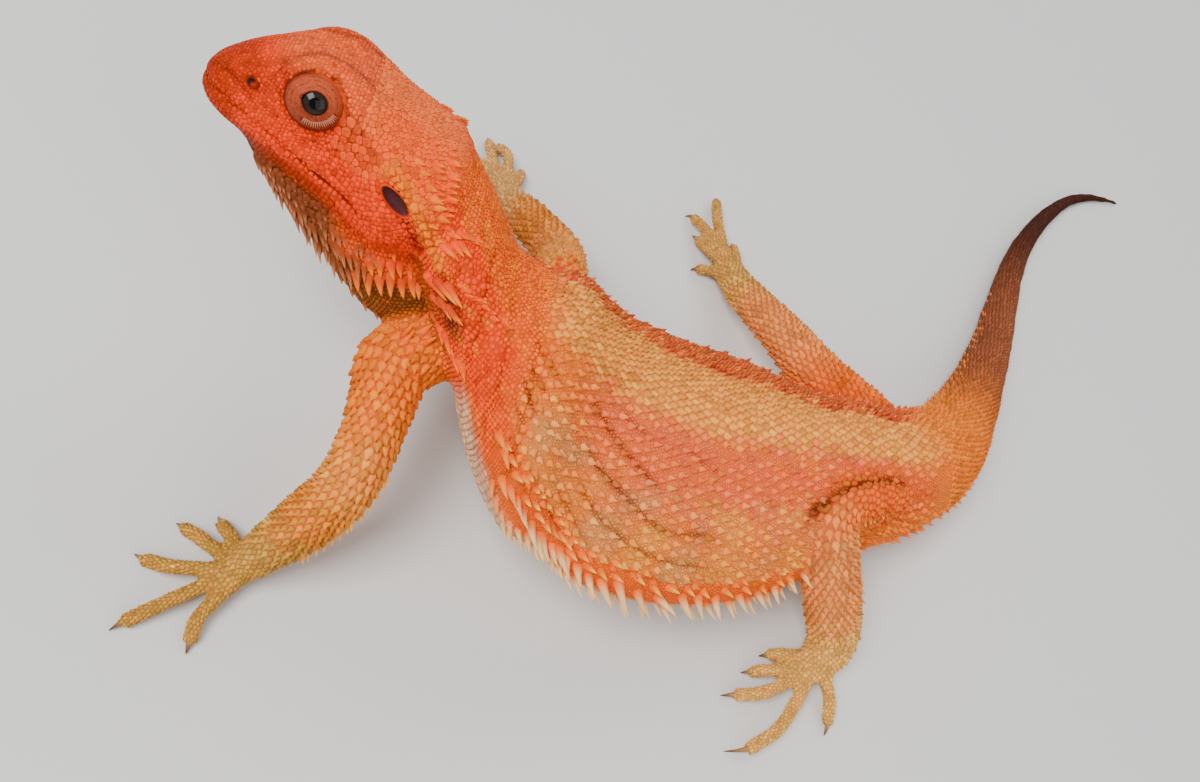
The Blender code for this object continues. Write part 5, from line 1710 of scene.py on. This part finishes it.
class DRAGON_OT_spines(bpy.types.Operator):
    """Adds the spines of flanks, beard, neck, head, tail and limbs"""

    bl_idname = "dragon.spines"
    bl_label = "Build spines"

    def execute(self, context):
        lofts = work["lofts"]
        heap = Heap()
        sets = []
        for part, rows in SPINE_ROWS.items():
            for row in rows:
                sets.append((*spine_rows(part, row, 300 + len(sets)), *row[6:8], *row[9:]))
        sets += limb_combs(lofts)
        draw = draws(400)
        faces = fan_faces(SPINE_SIDES, len(SPINE_STEPS))
        for bases, directions, towards, lengths, thick, flat, root, point in sets:
            body, share, local = spine_shapes(bases, directions, towards, lengths, thick, flat)
            spot = locate(bases, lofts)
            own = spot.colour * 0.4 + np.array(HUES[root]) * 0.6
            own = own * np.exp(draw.normal(0, 0.12, (len(own), 1)))
            end = np.array(HUES[point]) * np.exp(draw.normal(0, 0.1, (len(own), 1)))
            if point == "fringe_tip":
                shoulder = 0.85 * (1 - rise(spot.share * BODY_ROWS, 3.5, 4.5))[:, None]
                end = end * (1 - shoulder) + np.array(HUES["spine_orange"]) * shoulder
            start, full = (0.02, 0.45) if point == "fringe_tip" else (0.15, 0.8)
            pale = rise(share, start, full)[None, :, None]
            colour = own[:, None] * (1 - pale) + end[:, None] * pale
            unwrap = spot.unwrap[:, None] + local * UNWRAP_PATCH
            heap.add(body, faces, np.clip(colour, 0, 1), unwrap)
        place(heap.mesh("spines"), painted_material("spine_horn", 1200.0, 0.1, 0.4, 0.2), "trunk_skin")
        return {"FINISHED"}


# Spines over each shoulder: share along the arm, degrees round it
SHOULDER_SPINES = (
    (0.1, 84), (0.11, 100), (0.13, 116), (0.14, 74), (0.15, 92), (0.16, 108), (0.19, 82), (0.2, 98),
)


def limb_rings(loft, shares):
    """Rings of a limb at these shares, their middles and the way on from each."""
    rows = np.round(shares * (loft.count - 1)).astype(int)
    middle = loft.rings[rows].mean(1)
    following = loft.rings[np.minimum(rows + 1, loft.count - 1)].mean(1)
    return loft.rings[rows], middle, unit(following - middle)


def limb_combs(lofts):
    """Combs of short spines down the rear edge of forearms, thighs and shins, and spines on the shoulders."""
    sets = []
    for loft in lofts:
        if loft.name not in LIMBS:
            continue
        arm = "arm" in loft.name
        first, last, count, length = (0.5, 0.785, 13, 2.5) if arm else (0.3, 0.72, 14, 1.9)
        rings, middle, along = limb_rings(loft, np.linspace(first, last, count))
        bases = rings[np.arange(count), rings[..., 0].argmax(1)]
        aim = unit(unit(bases - middle) + along * 0.8)
        sets.append((bases, aim, along, np.full(count, length), 1.5, 0.7, "arm_low", "flank_yellow"))
        if arm:
            shares, turns = np.array(SHOULDER_SPINES).T
            rings, middle, along = limb_rings(loft, shares)
            bases = rings[np.arange(len(rings)), (turns / 360 * loft.segments).astype(int) % loft.segments]
            aim = unit(unit(bases - middle) * 0.8 - along * 0.7)
            sets.append((bases, aim, -along, np.full(len(rings), 2.8), 2.0, 0.8, "neck", "spine_orange"))
    return sets


# Eyelid from the opening outwards and back underneath: distance from the middle, height
LID_PROFILE = (
    (2.6, 3.35), (2.44, 3.72), (2.42, 3.92), (2.58, 4.02), (2.9, 3.96), (3.35, 3.72), (3.8, 3.45),
    (4.25, 3.14), (4.65, 2.8), (5.02, 2.42), (5.36, 2.0), (5.66, 1.52), (5.9, 1.0), (6.06, 0.45),
    (6.2, -0.3), (5.8, -0.8), (4.4, 0.8), (3.1, 2.6),
)
# Ear and nostril from the bottom outwards: distance from the middle, height
EAR_PROFILE = (
    (1, -1.7), (2, -1.6), (3, -1.35), (3.6, -0.9), (3.9, -0.4), (4.15, -0.1), (4.45, -0.12), (4.8, -0.6),
)
NOSTRIL_PROFILE = (
    (0.3, -1.0), (0.6, -0.95), (0.85, -0.5), (0.98, 0.0), (1.12, 0.2), (1.32, 0.14), (1.55, -0.3),
)
# Comb of the eyelid: distance from the middle, half width of its furrow, teeth, first and last degrees
COMB_RADIUS = 4.55
COMB_FURROW = 0.45
COMB_TEETH = 18
COMB_ENDS = (82, 172)
LID_SQUASH = 0.9


def comb_side(turn, side):
    """Whether a direction round the eye lies in the part of the lid that carries the comb."""
    return np.cos(turn - math.radians(sum(COMB_ENDS) / 2) * side) > 0.6


class DRAGON_OT_lids(bpy.types.Operator):
    """Makes the eyelids with their bead scales, the ears and the nostrils"""

    bl_idname = "dragon.lids"
    bl_label = "Build eyelids and ears"

    def execute(self, context):
        skin = work["skin"]
        lids = Heap()
        beads = Heap()
        holes = Heap()
        for side in (1, -1):
            draw = draws(500)
            self.add_lid(lids, side)
            self.add_beads(beads, side, draw)
            self.add_comb(beads, side, draw)
            self.add_hole(holes, EAR_PROFILE, EAR_CENTRE, ear_axes(side), side, 0.4, "cheek", 0.0)
            out = skin.touch(at_side(NOSTRIL_CENTRE, side)[None])[1][0]
            ahead = unit(head_axes()[0] - out * (head_axes()[0] @ out))
            axes = np.array([ahead, np.cross(out, ahead), out])
            self.add_hole(holes, NOSTRIL_PROFILE, NOSTRIL_CENTRE, axes, side, 0.8, "snout", 0.6)
        place(lids.mesh("eyelids"), painted_material("eyelid_skin", 1600.0, 0.2, 0.5, 0.5), "head_skin")
        material = painted_material("bead_scales", 1800.0, 0.15, 0.45, 0.2)
        place(beads.mesh("eyelid_scales"), material, "head_skin")
        place(holes.mesh("ears_and_nostrils"), material, "head_skin")
        return {"FINISHED"}

    def add_lid(self, heap, side):
        """Eyelid: its profile carried round the eye, with wrinkles and a drawn-out front corner."""
        segments = 96
        count = len(LID_PROFILE)
        angles = full_turn(segments)
        rings = turned(LID_PROFILE, segments)
        around = np.array(LID_PROFILE)[:, 0]
        rings[..., 1] *= LID_SIZE[1] / LID_SIZE[0]
        wrinkle = 0.07 * np.sin(around[:, None] * 9.0 + 1.5 * np.sin(angles * 3))
        wrinkle = wrinkle * between(around, 3.5, 5.8, 0.3)[:, None]
        rings[..., 2] += wrinkle * (np.arange(count) < 14)[:, None]
        rings[:6, :, 0] += 0.45 * bell(np.abs(angles - math.pi) - math.pi, 0.25)
        body = (at_side(LID_CENTRE, side) + rings.reshape(-1, 3) @ lid_axes(side))[None]
        hue = np.tile(HUES["lid"], (body.shape[1], 1)).reshape(count, segments, 3)
        # Painted shade at the lid's opening and outer edge and in the comb's furrow.
        edge = bell(around - 2.5, 0.22) + bell(around - 6.15, 0.4)
        furrow = bell(around - COMB_RADIUS, COMB_FURROW)[:, None] * comb_side(angles, side)
        light = ((1 - 0.75 * np.clip(edge, 0, 1))[:, None] * (1 - 0.6 * furrow))[..., None]
        # Painted light and shade: the upper half of the lid lighter, the lower half darker.
        upper = (1 - 0.25 * side * np.sin(angles))[None, :, None]
        faces = loop_faces(count, segments)[:, ::side]
        unwrap = np.zeros((count * segments, 2)) + (0.95, 0.05 + 0.02 * side)
        heap.add(body, faces, (hue * light * upper).reshape(1, -1, 3), unwrap)

    def add_beads(self, heap, side, draw):
        """Small scales scattered over the eyelid, leaving the furrow of the comb bare."""
        profile = np.array(LID_PROFILE[3:14])
        axes = lid_axes(side)
        points = []
        for number, radius in enumerate(np.arange(2.95, 6.0, 0.42)):
            count = int(2 * math.pi * radius / 0.5)
            turn = np.arange(count) + 0.5 * (number % 2) + draw.uniform(-0.35, 0.35, count)
            turn = turn / count * 2 * math.pi
            out = radius + draw.uniform(-0.13, 0.13, count)
            free = (np.abs(out - COMB_RADIUS) > COMB_FURROW) | ~comb_side(turn, side)
            high = np.interp(out, *profile.T)
            points.append(np.stack([out * np.cos(turn), out * np.sin(turn) * LID_SQUASH, high], -1)[free])
        local = np.concatenate(points)
        count = len(local)
        radial = unit(local * (1, 1, 0))
        around = np.hypot(local[:, 0], local[:, 1] / LID_SQUASH)
        slope = np.interp(around, profile[:, 0], np.gradient(profile[:, 1], profile[:, 0]))
        normals = unit(np.stack([-slope * radial[:, 0], -slope * radial[:, 1], np.ones(count)], -1)) @ axes
        spots = at_side(LID_CENTRE, side) + local @ axes
        cells = Cells(spots, normals, radial @ axes, np.full(count, 0.5))
        # Painted light and shade: beads on the upper half of the lid lighter, on the lower half darker.
        upper = (1 - 0.25 * side * np.sin(np.arctan2(local[:, 1], local[:, 0])))[:, None]
        light = np.exp(draw.normal(0, 0.14, (count, 1))) * upper
        # Beads darker towards the lid's outer edge: painted shade where the lid meets the skin.
        base = np.array(HUES["lid"]) * light * (1 - 0.8 * rise(around, 5.35, 5.9))[:, None]
        style = STYLES["fine"]._replace(height=0.08, rim=0.15)
        body, flat, rim, tip = scale_shapes(spots, normals, cells, np.arange(count), style, 501)
        unwrap = self.bead_unwrap(local, flat, side)
        heap.add(body, fan_faces(style.sides, style.rings), scale_colours(base, rim, tip, style, 502), unwrap)

    def bead_unwrap(self, local, flat, side):
        """Places in the unwrap for beads or teeth at these places on one lid."""
        return np.array((0.95, 0.2 + 0.1 * side)) + local[:, None, :2] * 0.006 + flat * UNWRAP_PATCH

    def add_comb(self, heap, side, draw):
        """Comb of teeth in the furrow."""
        profile = np.array(LID_PROFILE[3:14])
        axes = lid_axes(side)
        turn = np.radians(np.linspace(*COMB_ENDS, COMB_TEETH)) * side
        out = np.stack([np.cos(turn), np.sin(turn) * LID_SQUASH, 0 * turn], -1)
        root = out * (COMB_RADIUS - 0.42)
        root[:, 2] = np.interp(COMB_RADIUS - 0.42, *profile.T)
        aim = unit(out + (0, 0, 0.15)) @ axes
        lengths = 0.95 * draw.uniform(0.85, 1.1, COMB_TEETH)
        spots = at_side(LID_CENTRE, side) + root @ axes
        body, share, flat = spine_shapes(spots, aim, np.tile(axes[2], (COMB_TEETH, 1)), lengths, 0.46, 0.8)
        colour = np.broadcast_to(np.array(HUES["comb"]) * (0.7 + 0.3 * share[:, None]), body.shape)
        heap.add(body, fan_faces(SPINE_SIDES, len(SPINE_STEPS)), colour, self.bead_unwrap(root, flat, side))

    def add_hole(self, heap, profile, centre, axes, side, squash, outer, follow):
        """A dish sunk in the skin with a rounded rim, closed underneath."""
        segments = 48
        rings = turned(profile, segments)
        rings[..., 1] *= squash
        count = len(profile)
        middle = at_side(centre, side)
        touched = work["skin"].along((middle + axes[2] * 20)[None], -axes[2])
        level = float((touched[0] - middle) @ axes[2]) if len(touched) else 0.0
        middle = middle + axes[2] * min(max(level, -follow), follow)
        bottom = (0.0, 0.0, profile[0][1] - 0.05)
        under = (0.0, 0.0, profile[0][1] - 1.2)
        local = np.concatenate([rings.reshape(-1, 3), [bottom, under]])
        ring_of = np.concatenate([np.repeat(np.arange(count), segments), [0, count - 1]])
        # Dark at the bottom, passing to the skin's colour at the rim: in the ear its own dark colour deepened
        # by painted shade of the pit, in the nostril painted shade.
        share = rise(ring_of, count * 0.4, count * 0.62)[:, None]
        colour = np.array(HUES["ear"]) * (1 - share) + np.array(HUES[outer]) * 0.8 * share
        faces = closed_faces(count, segments)
        if np.linalg.det(axes) > 0:
            faces = faces[:, ::-1]
        unwrap = np.array((0.97, 0.5 + 0.1 * side)) + local[:, :2] * 0.003
        heap.add((middle + local @ axes)[None], faces, colour[None], unwrap)


# Colours of the eyeball and of its iris
EYE_BLACK = np.array((0.006, 0.005, 0.006))
EYE_BROWN = np.array((0.03, 0.018, 0.01))


class DRAGON_OT_eyes(bpy.types.Operator):
    """Makes the two glossy eyes, each with a dark iris and a round pupil"""

    bl_idname = "dragon.eyes"
    bl_label = "Build eyes"

    def execute(self, context):
        points, faces, colours = [], [], []
        ball, triangles = ball_grid(64, 40)
        around = np.hypot(ball[:, 0], ball[:, 1])
        front = ball[:, 2] > 0
        pupil = (1 - rise(around, 0.25, 0.3)) * front
        iris = between(around, 0.29, 0.52, 0.04) * front
        streak = 1 + 0.35 * np.sin(np.arctan2(ball[:, 1], ball[:, 0]) * 34) * iris
        hue = EYE_BLACK + EYE_BROWN * (iris * streak * 0.55)[:, None]
        hue = hue * (1 - 0.85 * pupil)[:, None]
        for side in (1, -1):
            faces.append(triangles + len(ball) * len(points))
            points.append(eye_centre(side) + ball * EYE_RADIUS @ lid_axes(side))
            colours.append(hue)
            if side < 0:
                faces[-1] = faces[-1][:, ::-1]
        mesh = new_mesh("eyes", to_frame(np.concatenate(points)), np.concatenate(faces))
        paint(mesh, np.concatenate(colours))
        item = place(mesh, painted_material("eye_gloss", 400.0, 0.05, 0.06, 0.0, 0.0, 0.22), "eye")
        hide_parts("eye_left", "eye_right")
        return {"FINISHED"}


CLAW_LENGTH = 3.8
CLAW_SEGMENTS = 14
HAND_NODES = {
    "left_arm": "hand_left", "right_arm": "hand_right", "left_leg": "foot_left", "right_leg": "foot_right",
}


class DRAGON_OT_claws(bpy.types.Operator):
    """Makes the twenty curved claws"""

    bl_idname = "dragon.claws"
    bl_label = "Build claws"

    def execute(self, context):
        heap = Heap()
        nodes = []
        draw = draws(600)
        shares = np.linspace(0, 1, CLAW_SEGMENTS)
        for limb, digits in DIGITS.items():
            for number, points in enumerate(digits):
                nodes.append(f"{HAND_NODES[limb]}_claw_{number + 1}")
                _, knuckle, end, tip = (np.array(point) for point in points)
                ahead = unit(end - knuckle)
                start = end - ahead * 0.4
                bend = end + ahead * (GAP + CLAW_LENGTH * 0.45) + (0, 0, 0.2)
                tip = end + (tip - end) * (0.92, 0.92, 1.0)
                line = [(*start, 0.9, 1.0), (*bend, 0.6, 0.75), (*tip, 0.08, 0.08)]
                body = with_ends(tube_rings(limb_curve(line), shares, CLAW_SEGMENTS))[None]
                along = np.concatenate([np.repeat(shares, CLAW_SEGMENTS), [0.0, 1.0]])
                hue = np.array(HUES["claw"]) * draw.uniform(0.8, 1.15)
                colour = hue * (1.25 - 0.95 * rise(along, 0.25, 0.95))[:, None]
                faces = closed_faces(CLAW_SEGMENTS, CLAW_SEGMENTS)
                unwrap = np.array((0.9, 0.1 + 0.03 * len(nodes))) + np.stack([along, along], -1) * 0.003
                heap.add(body, faces, np.clip(colour, 0, 1)[None], unwrap)
        material = painted_material("claw_horn", 1400.0, 0.22, 0.3, 0.3, 0.2)
        item = place(heap.mesh("claws"), material, "claw_horn")
        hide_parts(*nodes)
        return {"FINISHED"}


# Lamps: name, place, what it is turned to, size and watts
LIGHTS = (
    ("key_light", (-0.35, -0.55, 0.95), (0, 0, 0.03), 0.55, 13.0),
    ("fill_light", (0.75, -0.55, 0.65), (0, 0, 0.02), 0.9, 4.2),
    ("rim_light", (0.15, 0.85, 0.75), (0, 0, 0.02), 0.7, 5.0),
)
FLOOR_HALF = 3.0
AIR_COLOUR = (0.95, 0.97, 1.0, 1.0)
AIR_STRENGTH = 0.41


class DRAGON_OT_stage(bpy.types.Operator):
    """Sets up the floor, the lights, the pale surroundings and the camera"""

    bl_idname = "dragon.stage"
    bl_label = "Build stage"

    def execute(self, context):
        scene = context.scene
        corners = np.array([(-1, -1, 0), (1, -1, 0), (1, 1, 0), (-1, 1, 0)]) * FLOOR_HALF
        mesh = new_mesh("studio_floor", corners, np.array([[0, 1, 2, 3]]))
        floor = bpy.data.objects.new("studio_floor", mesh)
        scene.collection.objects.link(floor)
        material = bpy.data.materials.new("studio_floor")
        material.use_nodes = True
        shader = material.node_tree.nodes["Principled BSDF"]
        shader.inputs["Base Color"].default_value = (*settings().floor_colour, 1.0)
        shader.inputs["Roughness"].default_value = 0.8
        mesh.materials.append(material)
        for name, spot, aim, size, power in LIGHTS:
            lamp = bpy.data.lights.new(name, "AREA")
            lamp.size = size
            lamp.energy = power
            item = bpy.data.objects.new(name, lamp)
            scene.collection.objects.link(item)
            item.location = spot
            item.rotation_euler = (Vector(aim) - Vector(spot)).to_track_quat("-Z", "Y").to_euler()
        world = bpy.data.worlds.new("studio_air")
        world.use_nodes = True
        back = world.node_tree.nodes["Background"]
        back.inputs["Color"].default_value = AIR_COLOUR
        back.inputs["Strength"].default_value = AIR_STRENGTH
        scene.world = world
        self.add_camera(scene)
        return {"FINISHED"}

    def add_camera(self, scene):
        """Camera at the photograph's place, looking down and turned about its own line of sight."""
        down = math.radians(CAMERA_DOWN)
        turn = math.radians(CAMERA_TURN)
        forward = np.array([0, math.cos(down), -math.sin(down)])
        level = np.array([1.0, 0, 0])
        high = np.array([0, math.sin(down), math.cos(down)])
        right = math.cos(turn) * level + math.sin(turn) * high
        up = -math.sin(turn) * level + math.cos(turn) * high
        data = bpy.data.cameras.new("camera")
        data.lens = CAMERA_LENS
        data.sensor_width = 36.0
        data.clip_start = 0.01
        camera = bpy.data.objects.new("camera", data)
        scene.collection.objects.link(camera)
        matrix = Matrix((right, up, -forward)).transposed().to_4x4()
        matrix.translation = Vector((np.array(CAMERA_PLACE) + frame_shift()) * MM)
        camera.matrix_world = matrix
        scene.camera = camera


class DRAGON_PT_panel(bpy.types.Panel):
    """Sizes and the steps that build the animal"""

    bl_label = "Bearded Dragon"
    bl_idname = "DRAGON_PT_panel"
    bl_space_type = "VIEW_3D"
    bl_region_type = "UI"
    bl_category = "Dragon"

    def draw(self, context):
        column = self.layout.column()
        for name in DragonSettings.__annotations__:
            column.prop(context.scene.dragon_settings, name)
        for step in STEPS:
            column.operator(step.bl_idname)


STEPS = (
    DRAGON_OT_stage, DRAGON_OT_skin, DRAGON_OT_scales, DRAGON_OT_spines, DRAGON_OT_lids, DRAGON_OT_eyes,
    DRAGON_OT_claws,
)


def register():
    """Registers settings, operators and panel."""
    for item in (DragonSettings, *STEPS, DRAGON_PT_panel):
        bpy.utils.register_class(item)
    bpy.types.Scene.dragon_settings = PointerProperty(type=DragonSettings)


def unregister():
    """Takes them away again."""
    del bpy.types.Scene.dragon_settings
    for item in reversed((DragonSettings, *STEPS, DRAGON_PT_panel)):
        bpy.utils.unregister_class(item)


def main():
    """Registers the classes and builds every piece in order."""
    register()
    bpy.ops.dragon.stage()
    bpy.ops.dragon.skin()
    bpy.ops.dragon.scales()
    bpy.ops.dragon.spines()
    bpy.ops.dragon.lids()
    bpy.ops.dragon.eyes()
    bpy.ops.dragon.claws()


if __name__ == "__main__":
    main()
